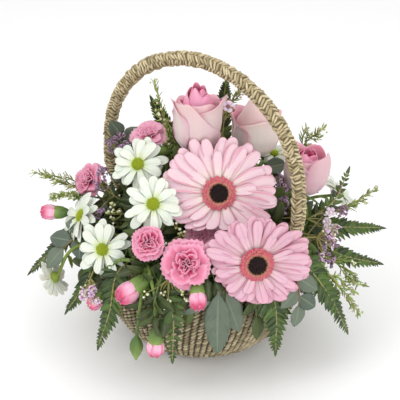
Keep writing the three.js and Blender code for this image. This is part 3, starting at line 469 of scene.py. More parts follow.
# Gerberas: two large heads of blunt ray petals, palest pink, in layers round a coral ring of short florets
# and a near-black disc. Each head sits in a green calyx on a leafless hairy stem pushed into the foam.
def tube(line, radius, sides):
    """A round rod along a line of points, with one radius or one for each point."""
    line = np.asarray(line, float)
    radius = np.broadcast_to(np.asarray(radius, float), len(line))
    along = units(np.gradient(line, axis=0))
    normal = np.array([0.0, 0, 1]) if abs(along[0, 2]) < 0.9 else np.array([1.0, 0, 0])
    turn = np.arange(sides)[:, None] * 2 * math.pi / sides
    rings = []
    for point, way, r in zip(line, along, radius):
        normal = normal - way * (normal @ way)
        normal /= np.linalg.norm(normal)
        rings.append(point + r * (normal * np.cos(turn) + np.cross(way, normal) * np.sin(turn)))
    return np.array(rings)


def stem(form, path, thick, thin, steps, sides, pick, tone):
    """Add a stem along a smooth path, with a radius at its start and one at its end."""
    line = curve(path, np.linspace(0, 1, steps))
    form.add(tube(line, np.linspace(thick, thin, steps), sides), pick, tone, closed=True)


def seated(point, way, spin=0.0):
    """What turns a piece made about +Z so that it faces a way and sits at a point."""
    turn = Vector((0, 0, 1)).rotation_difference(Vector(way).normalized()).to_matrix()
    c, n = math.cos(spin), math.sin(spin)
    turn = np.array(turn) @ np.array([[c, -n, 0], [n, c, 0], [0, 0, 1]])
    return lambda grid: np.asarray(grid) @ turn.T + np.asarray(point, float)


def unit(vector):
    """One vector, drawn out or in to a length of one."""
    return np.asarray(vector, float) / np.linalg.norm(vector)


def behind(point, way, distance):
    """The point so far behind a flower that faces a way."""
    return np.asarray(point, float) - unit(way) * distance


def varied(rng, count):
    """What draws one random number between two limits for each of some petals."""
    return lambda low, high: rng.uniform(low, high, (count, 1, 1))


def rays(
    count, inner, outer, half, base, rise, rng, rows, cols,
    sharp=0.5, tilt=0.16, stray=0.05, arch=0.0, blunt=0.68,
):
    """Strap petals all round, each a shallow channel with two grooves and a rounded, slightly pointed tip."""
    t = (1 - (1 - np.linspace(0, 1, rows)) ** 1.5)[None, :, None]
    q = np.linspace(-1, 1, cols)[None, None, :]
    pick = varied(rng, count)
    reach = outer * (1 + pick(-stray, stray * 0.5))
    tip = np.sqrt(np.clip(1 - ((t - blunt) / (1 - blunt)) ** 2, 0, 1)) ** (0.7 + sharp)
    outline = np.where(t < blunt, np.interp(t, [0, 0.25, blunt], [0.4, 0.62, 1]), tip)
    width = half * pick(0.86, 1.12) * outline
    x = inner + (reach - inner) * t * (1 - 0.02 * (t > 0.97) * (1 - np.cos(q * math.pi * 2)) * pick(0.1, 1))
    y = q * (width + 0.12) + pick(-0.08, 0.08) * x * t + pick(-0.05, 0.05) * outer * t**2
    z = base + rise * np.sin(t * math.pi * 0.62) + pick(-1, 1) * stray * outer * 0.7 * t**2
    z = z - arch * outer * t**3
    z = z + q * width * (tilt + pick(-0.14, 0.14)) * np.minimum(1, t * 3)
    z = z + width * 0.16 * q * q * pick(-0.6, 1.8)
    z = z + 0.26 * np.cos(q * math.pi * 2) * np.minimum(1, t * 4) * (1 - t**4)
    angle = (np.arange(count) + rng.uniform(-0.22, 0.22, count)).reshape(-1, 1, 1) * 2 * math.pi / count
    turned = [x * np.cos(angle) - y * np.sin(angle), x * np.sin(angle) + y * np.cos(angle), z + 0 * y]
    return np.stack(turned, -1), rng.random(count)


def petal(
    name, root, body, edge, vein, lines, veined, soft=0.12, reach=(0.05, 0.5), rim=0.0, strength=0.35
):
    """A fresh petal: a root colour that fades along it, a tinted edge, long veins and a fine grain."""
    s = Shader(name, Subsurface_Weight=soft, Subsurface_Scale=0.004, Sheen_Weight=0.15)
    across, along, pick, tone = s.grid()
    cloud = s.noise(70, 3)
    grain = s.noise(1500, 2)
    colour = s.mix(root, body, (along + cloud * 0.12 - 0.06).ramp(*reach))
    colour = s.mix(colour, edge, (abs(across - 0.5) * 2 + cloud * 0.3 - 0.15).ramp(0.55, 1.1) * 0.75)
    colour = s.mix(colour, edge, (along + cloud * 0.12).ramp(0.84, 1.06) * rim)
    # a vein line always runs along each side of a petal; with only one or two lines, as on the gerberas,
    # these are painted shade between neighbouring petals rather than veins
    thread = 1 - abs((across * math.pi * lines + cloud * 0.5).sine()).ramp(0.0, 0.35)
    colour = s.mix(colour, vein, thread * (1 - along * 0.55) * veined * (0.5 + pick * 0.5))
    colour = s.mix(colour, edge, (pick * 0.6 + cloud * 0.5 - 0.3).ramp(0.2, 0.9) * 0.4)
    bump = -0.6 * thread + 0.3 * grain + 0.5 * cloud
    return s.finish(s.mix(colour, edge, tone), grain * 0.12 + 0.52, bump, strength, 0.25)


s = Shader("stem_green", Subsurface_Weight=0.05, Subsurface_Scale=0.003)
streak = s.noise(240, 3, (1, 1, 0.25))
_, _, pick, tone = s.grid()
green = s.mix((74, 104, 42), (126, 152, 74), streak + pick * 0.3 - 0.15)
stem_green = s.finish(s.mix(green, (176, 184, 110), tone), 0.5 + streak * 0.2, streak, 0.4, 0.3)

# On the gerberas the dark pink vein lines lie along each petal's sides: painted shade in the narrow gaps
# between neighbouring petals. The pinker edge tint is partly the petals' own colour and partly that same
# painted shade.
gerbera_front = [
    petal("gerbera_pale", (228, 210, 198), (224, 192, 200), (221, 172, 186), (198, 92, 130), 1, 0.9),
    petal("gerbera_pink", (222, 194, 190), (214, 172, 186), (207, 147, 168), (182, 76, 120), 2, 1.0),
]
gerbera_back = petal(
    "gerbera_back", (214, 190, 176), (222, 156, 178), (206, 116, 146), (180, 82, 118), 4, 0.6
)
s = Shader("gerbera_ring", Subsurface_Weight=0.08, Subsurface_Scale=0.003)
_, along, pick, _ = s.grid()
ring_tint = s.mix((202, 146, 116), (214, 92, 116), along.ramp(0.3, 0.9))
gerbera_ring = s.finish(s.mix(ring_tint, (176, 62, 92), pick * 0.5), 0.6, s.noise(900), 0.3, 0.2)
s = Shader("gerbera_disc")
_, along, pick, tone = s.grid()
dark_disc = s.mix((26, 14, 16), (64, 34, 30), along * pick)
gerbera_disc = s.finish(
    s.mix(dark_disc, (206, 150, 110), tone * (pick * 0.6 + 0.4)), 0.7, s.noise(1200), 0.4, 0.2
)


GOLDEN_ANGLE = 2.399963


def studs(count, reach, dome, height, width, rng, sides):
    """Small upright florets packed over a dome in the spiral that a flower's disc has."""
    k = np.arange(count) + 0.5
    r = reach * np.sqrt(k / count)
    grids = []
    t = np.array([0.0, 0.35, 0.75, 0.95, 1.0])
    wide = np.array([0.8, 1.0, 0.9, 0.5, 0.05])
    turn = np.arange(sides) * 2 * math.pi / sides
    for radius, angle in zip(r, k * GOLDEN_ANGLE):
        w = width * rng.uniform(0.8, 1.15)
        h = height * rng.uniform(0.8, 1.2)
        lean = radius / reach * 0.5
        x = radius + t[:, None] * h * lean + w * wide[:, None] * np.cos(turn)
        y = w * wide[:, None] * np.sin(turn)
        z = dome * (1 - (radius / reach) ** 2) + t[:, None] * h + 0 * y
        c, n = math.cos(angle), math.sin(angle)
        grids.append(np.stack([x * c - y * n, x * n + y * c, z], -1))
    return np.array(grids), r / reach


def cupped(points, at, way, radius, share, reach):
    """Petals below a head's middle rise towards the viewer; those at some angles lean and look shorter."""
    face = unit(way)
    down = unit(np.array([0, 0, -1.0]) + face * face[2])
    offset = points - np.array(at, float)
    low = np.clip(offset @ down / radius, 0, 1.2)[..., None]
    flat = offset - (offset @ face)[..., None] * face
    far = np.clip(np.linalg.norm(flat, axis=-1) / radius - 0.25, 0, 0.75) / 0.75
    angle = np.degrees(np.arctan2(-offset @ down, offset @ np.cross(face, down)))
    flat *= ((np.interp(angle, *reach, period=360) - 1) * far)[..., None]
    rise = 9.0
    return points + flat - down * low**2 * radius * share + face * low**2 * rise


gerberas = [
    ((15, -62, 185), (-0.02, -0.9, 0.44), 0.2, 53, [(10, -38, 146), (6, -22, 112)]),
    ((48, -108, 138), (0.12, -0.95, 0.22), 0.5, 50, [(41, -84, 130), (26, -52, 116)]),
]
leaning = [
    (0.35, ([0], [1])),
    (
        0.27,
        (
            [0, 30, 56, 75, 90, 110, 135, 157, 178, 195, 215, 240, 270, 325],
            [1.02, 0.98, 0.86, 0.88, 0.84, 0.9, 0.9, 0.98, 0.84, 0.77, 0.77, 0.87, 1.0, 0.96],
        ),
    ),
]
for i, (at, way, spin, radius, path) in enumerate(gerberas):
    rng = np.random.default_rng(20 + i)
    put = seated(at, way, spin)
    name = f"gerbera_{i + 1}"
    form = Form()
    layers = (
        (24, 8.5, radius * 1.03, 6.1, -1.8, 1.6, 0.00),
        (23, 8.2, radius * 0.98, 5.9, 0.0, 2.4, 0.02),
        (8, 8.0, radius * 0.72, 4.6, 1.4, 2.6, 0.04),
    )
    for k, (count, inner, outer, half, base, rise, arch) in enumerate(layers):
        habit = {"sharp": 0.15, "stray": 0.06 + 0.03 * k, "arch": arch, "blunt": 0.7}
        petals, pick = rays(count, inner, outer, half, base, rise, rng, 14, 9, **habit)
        form.add(cupped(put(petals), at, way, radius, *leaning[i]), pick, 0.1 * (2 - k))
    slot = ("gerbera_pale", "gerbera_pink")[i]
    form.build(name + "_rays", [gerbera_front[i], gerbera_back], [name + "_petals"], slot, thick=0.45)
    form = Form()
    for count, inner, outer, base, rise in (
        (64, 8.6, 16.0, 3.4, 1.2),
        (60, 8.2, 14.0, 4.4, 1.4),
        (52, 7.4, 11.8, 5.2, 1.8),
    ):
        petals, pick = rays(count, inner, outer, 0.72, base, rise, rng, 6, 5, tilt=0.3)
        form.add(put(petals), pick, 0)
    form.build(name + "_ring", [gerbera_ring], (), "gerbera_eye", thick=0.4)
    form = Form()
    buttons, out = studs(180, 9.0, 2.2, 2.4, 0.62, rng, 5)
    form.add(put(buttons + np.array([0, 0, 4.6])), rng.random(len(out)), (out > 0.86) * 0.9, closed=True)
    form.add(put(lathe([[9.2, 1.0], [9.2, 4.4], [6.6, 6.2], [0.3, 7.0]], 24)), 0.2, 0, closed=True)
    form.build(name + "_disc", [gerbera_disc], [name + "_eye"], "gerbera_eye")
    form = Form()
    calyx = lathe([[2.6, -14], [4.4, -12.5], [7.2, -8.5], [8.6, -3.0], [8.2, -2.4], [0.5, -2.2]], 20)
    form.add(put(calyx), 0.5, 0, closed=True)
    bracts, pick = rays(16, 4.5, 12.5, 1.7, -6.2, 1.2, rng, 6, 5, stray=0.08, arch=-0.05)
    form.add(put(bracts), pick, 0)
    stem(form, [behind(at, way, 10), *path], 2.6, 2.9, 18, 10, 0.4, 0)
    form.build(name + "_stalk", [stem_green], [name + "_stem"], "stem_green")


# Roses: three half-open buds of broad satin petals, dusty pale pink with greener bases and pink rims, wrapped
# round a tall deeper cone. Each sits on a green hip with five narrow sepals and a stout stem.
rose_inside = petal(
    "rose_inside", (228, 204, 194), (236, 180, 196), (212, 122, 154), (220, 150, 170), 6, 0.25, 0.15
)
rose_outside = petal(
    "rose_outside", (214, 200, 172), (218, 191, 189), (208, 146, 166), (216, 170, 178), 7, 0.25, 0.2,
    (0.0, 0.3),
)
# A paler copy of rose_outside for the second rose: painted light that lifts it out of the shade it sits in,
# low behind the first gerbera.
rose_outside_painted_light = petal(
    "rose_outside_painted_light", (232, 222, 196), (242, 222, 214), (216, 158, 174), (224, 184, 190), 7, 0.25, 0.2,
    (0.0, 0.3),
)
rose_cone = petal(
    "rose_cone", (236, 192, 204), (232, 160, 186), (196, 60, 112), (220, 126, 158), 6, 0.25, 0.15,
    strength=0.3,
)


def cup(
    angles, radius, height, half, curl, foot, base, close, rng, point, rows, cols, lap, tip=0.4, skew=0
):
    """Broad petals at given angles that wrap over each other, with rims that roll out to a drawn tip."""
    count = len(angles)
    t = np.linspace(0, 1, rows)[None, :, None]
    q = np.linspace(-1, 1, cols)[None, None, :]
    pick = varied(rng, count)
    tall = height * pick(0.96, 1.03)
    spread = half * np.interp(t, [0, 0.12, 0.4, 0.75, 0.92, 1], [0.6, 0.8, 1, 1, 0.9, 0.8])
    drop = point * (1 - np.exp(-((q / tip) ** 2))) + 0.07 * np.abs(q) ** 3
    drop = drop + abs(skew) * np.clip(q * np.sign(skew), 0, 1) ** 1.2 + 0.012 * np.sin(q * 7 + pick(0, 6))
    z = base + (tall - base) * (t - drop * t**2)
    shares = [0, 0.1, 0.26, 0.5, 0.74, 0.88, 1]
    rings = [
        foot, radius * 0.62, radius * 0.9, radius, radius * close[0], radius * close[1], radius * close[2]
    ]
    r = np.interp(t, shares, rings)
    edge = np.clip((t - 0.78) / 0.22, 0, 1) ** 1.8
    roll = 0.35 + 0.65 * np.exp(-((q / 0.4) ** 2))
    r = r + curl * edge * roll * pick(0.8, 1.25) + lap * q * np.minimum(1, t * 3)
    r = r + 0.03 * radius * np.sin(q * 4 + pick(0, 6)) * t
    angle = spread * q + np.reshape(angles, (-1, 1, 1)) + pick(-0.05, 0.05)
    z = z - edge * curl * roll * 0.15 + 0 * r
    return np.stack([r * np.cos(angle), r * np.sin(angle), z], -1), rng.random(count)


def around(count, turn):
    """Angles spread evenly round a circle, from a first one on."""
    return turn + np.arange(count) * 2 * math.pi / count


lance_shape = ([0, 0.12, 0.45, 0.8, 1], [0.1, 0.62, 1, 0.6, 0.02])


def blades(bases, ways, faces, lengths, halves, bend, fold, rows, cols, shape=lance_shape):
    """Leaves, one for each base: a midrib fold, an outline of half widths along them and a gentle bend."""
    t = np.linspace(0, 1, rows)
    q = np.linspace(-1, 1, cols)
    out = []
    for base, way, face, length, half in zip(bases, ways, faces, lengths, halves):
        way = unit(way)
        side = unit(np.cross(way, face))
        up = np.cross(side, way)
        wide = half * np.interp(t, *shape)[:, None]
        grid = base + (way * t[:, None] * length)[:, None] + side * (q * wide)[..., None]
        rise = np.abs(q) ** 1.3 * wide * fold - bend * length * (t[:, None] ** 2)
        grid = grid + up * rise[..., None]
        out.append(grid[:, ::-1])
    return np.array(out)


roses = [
    (
        (-6, -14, 203), (0.04, 0.02, 1), 1.0, (69, 14.0), [(-4, -8, 160), (-2, -4, 108)],
        [
            (-1.95, 23.6, 57, 1.45, 1.4, 0.04, 0.4, 0.42),
            (-2.95, 22.8, 58, 1.1, 4.2, 0.16, 0.4, 0),
            (-0.4, 22.2, 66, 1.3, 6.5, 0.2, 0.28, 0),
            (0.95, 22.0, 53, 1.1, 4.5, 0.12, 0.4, 0),
            (2.2, 22.4, 52, 1.15, 4.5, 0.12, 0.4, 0),
            (-1.2, 20.4, 57, 1.3, 0.8, 0.05, 0.5, 0),
            (1.6, 20.0, 56, 1.3, 1.8, 0.1, 0.4, 0.2),
            (-2.9, 19.6, 57, 1.3, 1.2, 0.08, 0.4, 0),
        ],
    ),
    (
        (50, 20, 184), (0.06, 0.0, 1), 1.0, (58, 14.5), [(36, 16, 150), (24, 12, 110)],
        [
            (-1.35, 23.4, 46, 1.5, 2.6, 0.04, 0.5, -0.12),
            (-2.95, 22.6, 48, 1.1, 4.0, 0.16, 0.35, 0),
            (0.15, 22.2, 50, 1.1, 3.5, 0.12, 0.4, 0),
            (1.3, 22.0, 50, 1.1, 4.2, 0.12, 0.4, 0),
            (2.4, 21.8, 47, 1.1, 4.2, 0.12, 0.4, 0),
            (-1.95, 19.8, 65, 1.35, -2.0, 0.34, 0.6, 0),
            (-0.5, 19.4, 54, 1.3, 0.8, 0.08, 0.4, 0),
            (1.7, 19.4, 55, 1.3, 1.2, 0.1, 0.4, 0.2),
        ],
    ),
    (
        (97, -6, 156), (0.13, -0.1, 0.98), 0.95, (51, 14.5), [(74, 0, 132), (50, 4, 112)],
        [
            (-0.35, 24.2, 54, 1.35, -2.5, 0.02, 0.5, 0.25),
            (-2.0, 22.0, 46, 1.2, 3.0, 0.12, 0.4, 0.2),
            (-3.0, 22.4, 49, 1.1, 4.0, 0.14, 0.35, 0),
            (1.1, 21.4, 47, 1.1, 0.5, 0.1, 0.4, 0),
            (2.3, 21.8, 50, 1.1, 4.2, 0.12, 0.4, 0),
            (-1.0, 20.2, 50, 1.3, 0.8, 0.06, 0.4, 0.3),
            (2.9, 19.6, 52, 1.4, 1.2, 0.1, 0.4, 0),
            (0.9, 19.4, 52, 1.3, 0.8, 0.1, 0.4, 0.2),
        ],
    ),
]
for i, (at, way, size, (tall, slim), path, wraps) in enumerate(roses):
    rng = np.random.default_rng(40 + i)
    put = seated(at, way)
    name = f"rose_{i + 1}"
    form = Form()
    for k, (angle, radius, height, half, curl, point, tip, skew) in enumerate(wraps):
        inner = k > 4 or curl < -2.2
        close = (0.97, 0.92, 0.86) if inner else (1.0, 0.99, 0.98)
        low = (4.2 - 0.3 * k, 1.6 + 0.4 * k)
        petals, pick = cup(
            [angle], radius, height, half, curl, *low, close, rng, point, 18, 25, 0.9, tip, skew
        )
        form.add(put(petals * size), pick, 0.35 * inner)
    # the second rose wears the paler copy of the outside skin, painted light against its shade
    skins = [rose_inside, rose_outside_painted_light if i == 1 else rose_outside]
    form.build(name + "_outer", skins, [name + "_bloom"], "rose_petal", thick=0.4)
    form = Form()
    for count, radius, height, half, turn, foot, base, close, tone in (
        (2, slim * 1.12, tall * 0.93, 1.9, 2.4, 3, 5, (0.93, 0.8, 0.6), 0.0),
        (2, slim * 0.92, tall * 0.98, 1.9, 0.9, 3, 8, (0.88, 0.72, 0.5), 0.05),
        (2, slim * 0.72, tall, 2.1, 2.2, 2, 16, (0.86, 0.7, 0.5), 0.3),
        (2, slim * 0.46, tall * 0.985, 2.3, 3.6, 2, 24, (0.84, 0.7, 0.56), 0.75),
        (2, slim * 0.26, tall * 0.96, 2.5, 0.6, 1, 30, (0.84, 0.74, 0.64), 1.0),
    ):
        angles = around(count, turn)
        petals, pick = cup(angles, radius, height, half, 0.5, foot, base, close, rng, 0.1, 14, 17, 1.1)
        form.add(put(petals * size), pick, tone)
    form.build(name + "_cone", [rose_cone], (), "rose_petal", thick=0.4)
    form = Form()
    hip = lathe([[2.6, -8.5], [4.2, -7], [5.8, -4], [5.4, -0.6], [3, 0.6], [0.4, 1.2]], 16)
    form.add(put(size * hip), 0.4, 0, closed=True)
    turn = around(5, 0)
    feet = np.stack([3.2 * np.cos(turn), 3.2 * np.sin(turn), np.full(5, -2.4)], 1)
    way_out = np.stack([np.cos(turn), np.sin(turn), np.full(5, -0.35)], 1)
    sepals = blades(feet, way_out, [(0, 0, 1)] * 5, [27] * 5, [3.1] * 5, 0.18, 0.3, 12, 5)
    form.add(put(sepals * size), rng.random(5), 0)
    stem(form, [behind(at, way, 5 * size), *path], 2.8, 3.1, 16, 10, 0.4, 0)
    form.build(name + "_stalk", [stem_green], [name + "_stem"], "stem_green")


# Spray carnations: blooms of many toothed and ruffled petals, bright pink with pale rims and crimson petal
# roots, whose darkness deep in each bloom is partly their own colour and partly painted shade. They sit in
# smooth green cups, with round pink buds and one green bud on thin jointed stems from the same sprays.
# the crimson root colour, dark deep in each bloom, is partly the flower's own deeper pink and partly painted
# shade
carnation_pink = petal(
    "carnation_pink", (166, 14, 62), (208, 76, 122), (230, 164, 188), (196, 44, 100), 4, 0.5, 0.1,
    (0.3, 0.95), 0.8, strength=0.5,
)
bud_pink = petal(
    "bud_pink", (246, 180, 204), (200, 48, 100), (234, 140, 174), (206, 72, 122), 3, 0.5, 0.1, (0.45, 1.0),
    strength=0.5,
)
carnation_under = petal(
    "carnation_under", (206, 110, 140), (230, 142, 174), (242, 192, 208), (200, 90, 130), 4, 0.4, 0.1,
    (0.1, 0.75), 0.6, strength=0.5,
)


def ruffle(count, reach, lean, wide, base, ripple, rng, lap):
    """Fan petals round a centre that open to an angle from its axis, rippled and toothed along their rims."""
    rows, cols = 9, 17
    t = np.linspace(0, 1, rows)[None, :, None]
    q = np.linspace(-1, 1, cols)[None, None, :]
    pick = varied(rng, count)
    lean = np.radians(lean + pick(-8, 8)) * (0.45 + 0.55 * t)
    teeth = 1 + 0.028 * np.where(np.arange(cols) % 2, 1, -1)[None, None, :] * (t > 0.99) * pick(0.6, 1.4)
    out = reach * pick(0.92, 1.06) * t * teeth * (1 - 0.13 * np.abs(q) ** 2.2 * t)
    spread = wide * q * np.interp(t, [0, 0.3, 0.7, 1], [0.6, 0.75, 1, 1.04])
    wave = ripple * reach * t**2 * (
        1.2 * np.sin(q * pick(2.5, 4.5) + pick(0, 6)) + 0.3 * np.sin(q * 9 + pick(0, 6))
    )
    flat = out * np.sin(lean) - wave * np.cos(lean) + 0.05 * reach
    z = base + out * np.cos(lean) + wave * np.sin(lean)
    angle = spread + (np.arange(count).reshape(-1, 1, 1) + pick(-0.12, 0.12)) * 2 * math.pi / count + lap
    return np.stack([flat * np.cos(angle), flat * np.sin(angle), z], -1), rng.random(count)


carnations = {
    "left": ((-48, -98, 154), (-0.2, -0.8, 0.55), 0.4, 17, (0.72, 1.0, 0.0)),
    "middle": ((-14, -111, 140), (-0.02, -0.9, 0.42), 1.0, 23, (0.84, 0.78, 0.0)),
    "far": ((-112, 18, 158), (-0.6, -0.5, 0.6), 2.0, 19, (0.85, 0.8, 0.15)),
    # the shaded bloom's high pale tone is painted light that lightens it where it sits in shade under the
    # gerberas
    "shaded": ((-3, -66, 143), (-0.1, -0.7, 0.7), 0.0, 15, (0.9, 0.9, 0.7)),
    "high": ((-52, 10, 208), (-0.25, -0.3, 0.9), 0.7, 19, (0.8, 0.8, 0.6)),
    "back": ((34, 92, 152), (0.3, 0.8, 0.5), 0.2, 22, (1.0, 1.0, 0.0)),
}
for i, (name, (at, way, spin, radius, (opened, heart, pale))) in enumerate(carnations.items()):
    rng = np.random.default_rng(60 + i)
    put = seated(at, way, spin)
    form = Form()
    for k, (count, lean, share, wide, base, ripple) in enumerate(
        (
            (5, 84, 1.02, 0.80, -0.16, 0.07),
            (5, 68, 1.00, 0.76, -0.12, 0.09),
            (5, 52, 0.92, 0.72, -0.08, 0.11),
            (4, 36, 0.84, 0.80, -0.04, 0.13),
            (4, 22, 0.74, 0.80, 0.00, 0.16),
            (4, 10, 0.66, 0.90, 0.02, 0.18),
        )
    ):
        reach = radius * share * (1 if k < 2 else heart)
        gentle = ripple * (0.6 if k < 2 and heart < 0.7 else 1)
        petals, pick = ruffle(count, reach, lean * opened, wide, base * radius, gentle, rng, k * 0.7)
        form.add(put(petals), pick, pale + (0.3 if k < 2 else 0.0))
    skins = [carnation_pink, carnation_under]
    form.build("carnation_bloom_" + name, skins, ["carnation_" + name], "carnation_petal", thick=0.4)

buds = [
    ((-146, 0, 131), (-1, -0.05, 0.05), 0.95),
    ((-60, -106, 112), (-0.8, -0.5, -0.35), 1.22),
    ((-5, -124, 118), (0.05, -0.75, -0.6), 0.95),
    ((-43, -124, 66), (-0.05, -0.15, -1), 1.0),
    ((-96, -79, 84), (-0.7, -0.2, -0.65), 0.95),
]
for i, (at, way, size) in enumerate(buds):
    rng = np.random.default_rng(80 + i)
    put = seated(at, way, i)
    form = Form()
    for count, radius, height, half, curl, turn, base, close, tone in (
        (5, 7.6, 16.5, 0.85, 0.6, 0.0, -1.0, (1.0, 0.88, 0.7), 0.0),
        (4, 7.0, 17.6, 1.05, 0.1, 0.5, 0.0, (0.96, 0.78, 0.52), 0.0),
        (3, 5.6, 18.2, 1.35, 0.0, 1.2, 1.0, (0.94, 0.7, 0.4), 0.0),
        (2, 3.2, 18.4, 1.8, 0.0, 2.0, 2.0, (1.0, 0.8, 0.5), 0.0),
    ):
        angles = around(count, turn)
        petals, pick = cup(angles, radius, height, half, curl, 4.2, base, close, rng, 0.1, 9, 11, 0.7)
        form.add(put(petals * size), pick, tone)
    skins = [carnation_pink, bud_pink]
    form.build(f"carnation_tip_{i + 1}", skins, [f"carnation_bud_{i + 1}"], "carnation_bud", thick=0.4)

s = Shader("calyx_green", Subsurface_Weight=0.06, Subsurface_Scale=0.003)
across, along, _, _ = s.grid()
cloud = s.noise(160, 3)
skin = s.mix((62, 94, 36), (138, 162, 80), (along * 0.7 + cloud * 0.4 - 0.1).ramp(0.1, 0.9))
calyx_green = s.finish(skin, 0.45 + cloud * 0.2, abs((across * 40).sine()) * 0.4 + cloud, 0.3, 0.25)


def branching(path, share, rng):
    """A spot on a stem, the way that the stem runs there and a random way out from it."""
    spot, ahead = curve(path, [share, share + 0.03])
    along = unit(ahead - spot)
    return spot, along, unit(np.cross(along, rng.normal(size=3)))


def cup_green(form, put, wide, length, top, pick, rng):
    """A smooth calyx tube with five teeth at its mouth and a pair of short bracts at its foot."""
    turn = around(20, 0)
    teeth = np.abs(np.cos(turn * 2.5))
    profile = (
        (0.42, 0.0, 0), (0.62, 0.12, 0), (0.95, 0.45, 0), (1.04, 0.8, 0), (1.0, 1.0, 0.0), (1.03, 1.12, 1.0)
    )
    grid = []
    for r, h, k in profile:
        z = top - length + h * length + k * teeth * length * 0.14 - k * 1.2
        grid.append(np.stack([r * wide * np.cos(turn), r * wide * np.sin(turn), z], 1))
    form.add(put(grid), pick, 0, closed=True)
    a = rng.uniform(0, 6) + np.arange(2) * math.pi
    bases = np.stack([np.cos(a) * wide * 0.5, np.sin(a) * wide * 0.5, np.full(2, top - length * 1.02)], 1)
    ways = np.stack([np.cos(a) * 0.45, np.sin(a) * 0.45, np.ones(2)], 1)
    leaves = blades(bases, ways, -bases * [1, 1, 0], [length * 0.5] * 2, [wide * 0.34] * 2, -0.1, 0.3, 6, 5)
    form.add(put(leaves), pick, 0)


sprays = {
    "front": (["left", "middle", "shaded"], [(2, None)], (-30, -80, 130), (-14, -50, 112)),
    "low": (
        [], [(1, (-50, -96, 121)), (3, (-43, -120, 108)), (4, (-80, -80, 123))], (-52, -88, 126),
        (-38, -62, 120),
    ),
    "left": (["far"], [(0, None)], (-90, 8, 126), (-60, 4, 115)),
    "high": (["high"], [], (-44, 8, 168), (-34, 6, 108)),
    "back": (["back"], [], (26, 70, 134), (18, 50, 112)),
}
green_buds = {
    "low": ((-62, -118, 52), (-0.05, -0.1, -0.99), 1.0, 0.8, 10, (-57, -118, 98)),
    "high": ((-39, -6, 201), (-0.75, -0.55, 0.35), 0.85, 0.7, 9, (-36, 2, 186)),
}
bud_line = [
    [1.3, -13], [1.9, -11.5], [4.6, -8], [6.5, -2.5], [6.2, 2], [4.4, 6.5], [2.2, 10.5], [1.1, 13],
    [0.2, 14.5],
]
for i, (name, (heads, held, hub, root)) in enumerate(sprays.items()):
    rng = np.random.default_rng(90 + i)
    form = Form()
    hub = np.array(hub, float)
    stem(form, [hub, root], 2.3, 2.3, 6, 9, 0.5, 0)
    ends = []
    for key in heads:
        at, way, spin, radius, _ = carnations[key]
        put = seated(at, way, spin)
        length = radius * 0.95
        top = -radius * 0.22 - 0.35
        cup_green(form, put, max(3.6, radius * 0.27), length, top + 1.5, rng.random(), rng)
        foot = behind(at, way, -top + length - 1.5)
        ends.append([foot, foot * 0.5 + hub * 0.5 + [0, 0, 3], hub])
    for key, over in held:
        at, way, size = buds[key]
        put = seated(at, way, key)
        cup_green(form, put, 6.9 * size, 15.5 * size, 3.2, rng.random(), rng)
        foot = behind(at, way, 13.5 * size)
        ends.append([foot, *([over] if over else []), hub])
    if name in green_buds:
        at, way, size, pick, sunk, over = green_buds[name]
        form.add(seated(at, way)(lathe(bud_line, 18) * size), pick, 0, closed=True)
        ends.append([behind(at, way, sunk), over, hub])
    for points in ends:
        stem(form, points, 1.3, 1.9, 14, 8, 0.5, 0)
        for share in (0.35, 0.62):
            spot, along, side = branching(points, share, rng)
            joint = tube([spot - along * 1.4, spot, spot + along * 1.4], [1.7, 2.7, 1.7], 8)
            form.add(joint, 0.5, 0, closed=True)
            pair = [along * 0.8 + side, along * 0.8 - side]
            leaves = blades([spot] * 2, pair, [along] * 2, rng.uniform(9, 15, 2), [1.5] * 2, 0.2, 0.4, 8, 5)
            form.add(leaves, rng.random(2), 0)
    form.build("carnation_spray_" + name, [calyx_green], ["carnation_green_" + name], "stem_green")


# Daisies: white spray daisies of two close layers of blunt petals, faintly cream at their roots, round a lime
# disc of packed florets. Their cups and thin branched stems are of the same lime green.
daisy_white = petal(
    "daisy_white", (204, 214, 150), (223, 225, 212), (212, 218, 206), (178, 186, 166), 3, 0.5, 0.12,
    (0.0, 0.34), strength=0.6,
)
daisy_under = petal(
    "daisy_under", (206, 214, 168), (226, 229, 218), (216, 220, 208), (176, 184, 164), 3, 0.4, 0.12,
    (0.0, 0.3), strength=0.45,
)
s = Shader("daisy_lime", Subsurface_Weight=0.05, Subsurface_Scale=0.003)
_, along, pick, tone = s.grid()
lime = s.mix((140, 160, 16), (188, 202, 48), along * 0.6 + pick * 0.4)
daisy_lime = s.finish(s.mix(lime, (112, 132, 46), tone), 0.55 + s.noise(300) * 0.2, s.noise(700), 0.3, 0.2)
daisies = {
    "upper": ((-61, -26, 197), (-0.2, -0.75, 0.6), 0.1, 27),
    "middle": ((-45, -72, 179), (-0.1, -0.8, 0.55), 0.5, 27),
    "lower": ((-94, -67, 128), (-0.3, -0.85, 0.4), 0.9, 27),
    "side": ((-119, -22, 139), (-0.82, -0.3, 0.5), 0.2, 28),
    "drooping": ((-148, -42, 80), (-0.8, 0.2, -0.5), 0.3, 20),
    "right": ((139, 26, 141), (0.62, -0.04, 0.75), 0.6, 23),
    "back": ((-52, 88, 150), (-0.4, 0.75, 0.5), 0.4, 25),
    "hidden": ((73, 40, 177), (0.15, -0.35, 0.9), 0.2, 16),
}
for i, (name, (at, way, spin, radius)) in enumerate(daisies.items()):
    rng = np.random.default_rng(110 + i)
    put = seated(at, way, spin)
    form = Form()
    for count, share, base, rise in ((13, 1.03, -0.6, 1.2), (9, 0.9, 0.9, 2.2)):
        size = (3.6, radius * share, radius * 0.163)
        petals, pick = rays(count, *size, base, rise, rng, 13, 9, 0.35, 0.12, 0.17, 0.06)
        form.add(put(petals), pick, 0)
    replaced = ["daisy_" + name] if name != "hidden" else ()
    form.build("daisy_rays_" + name, [daisy_white, daisy_under], replaced, "daisy_white", thick=0.4)

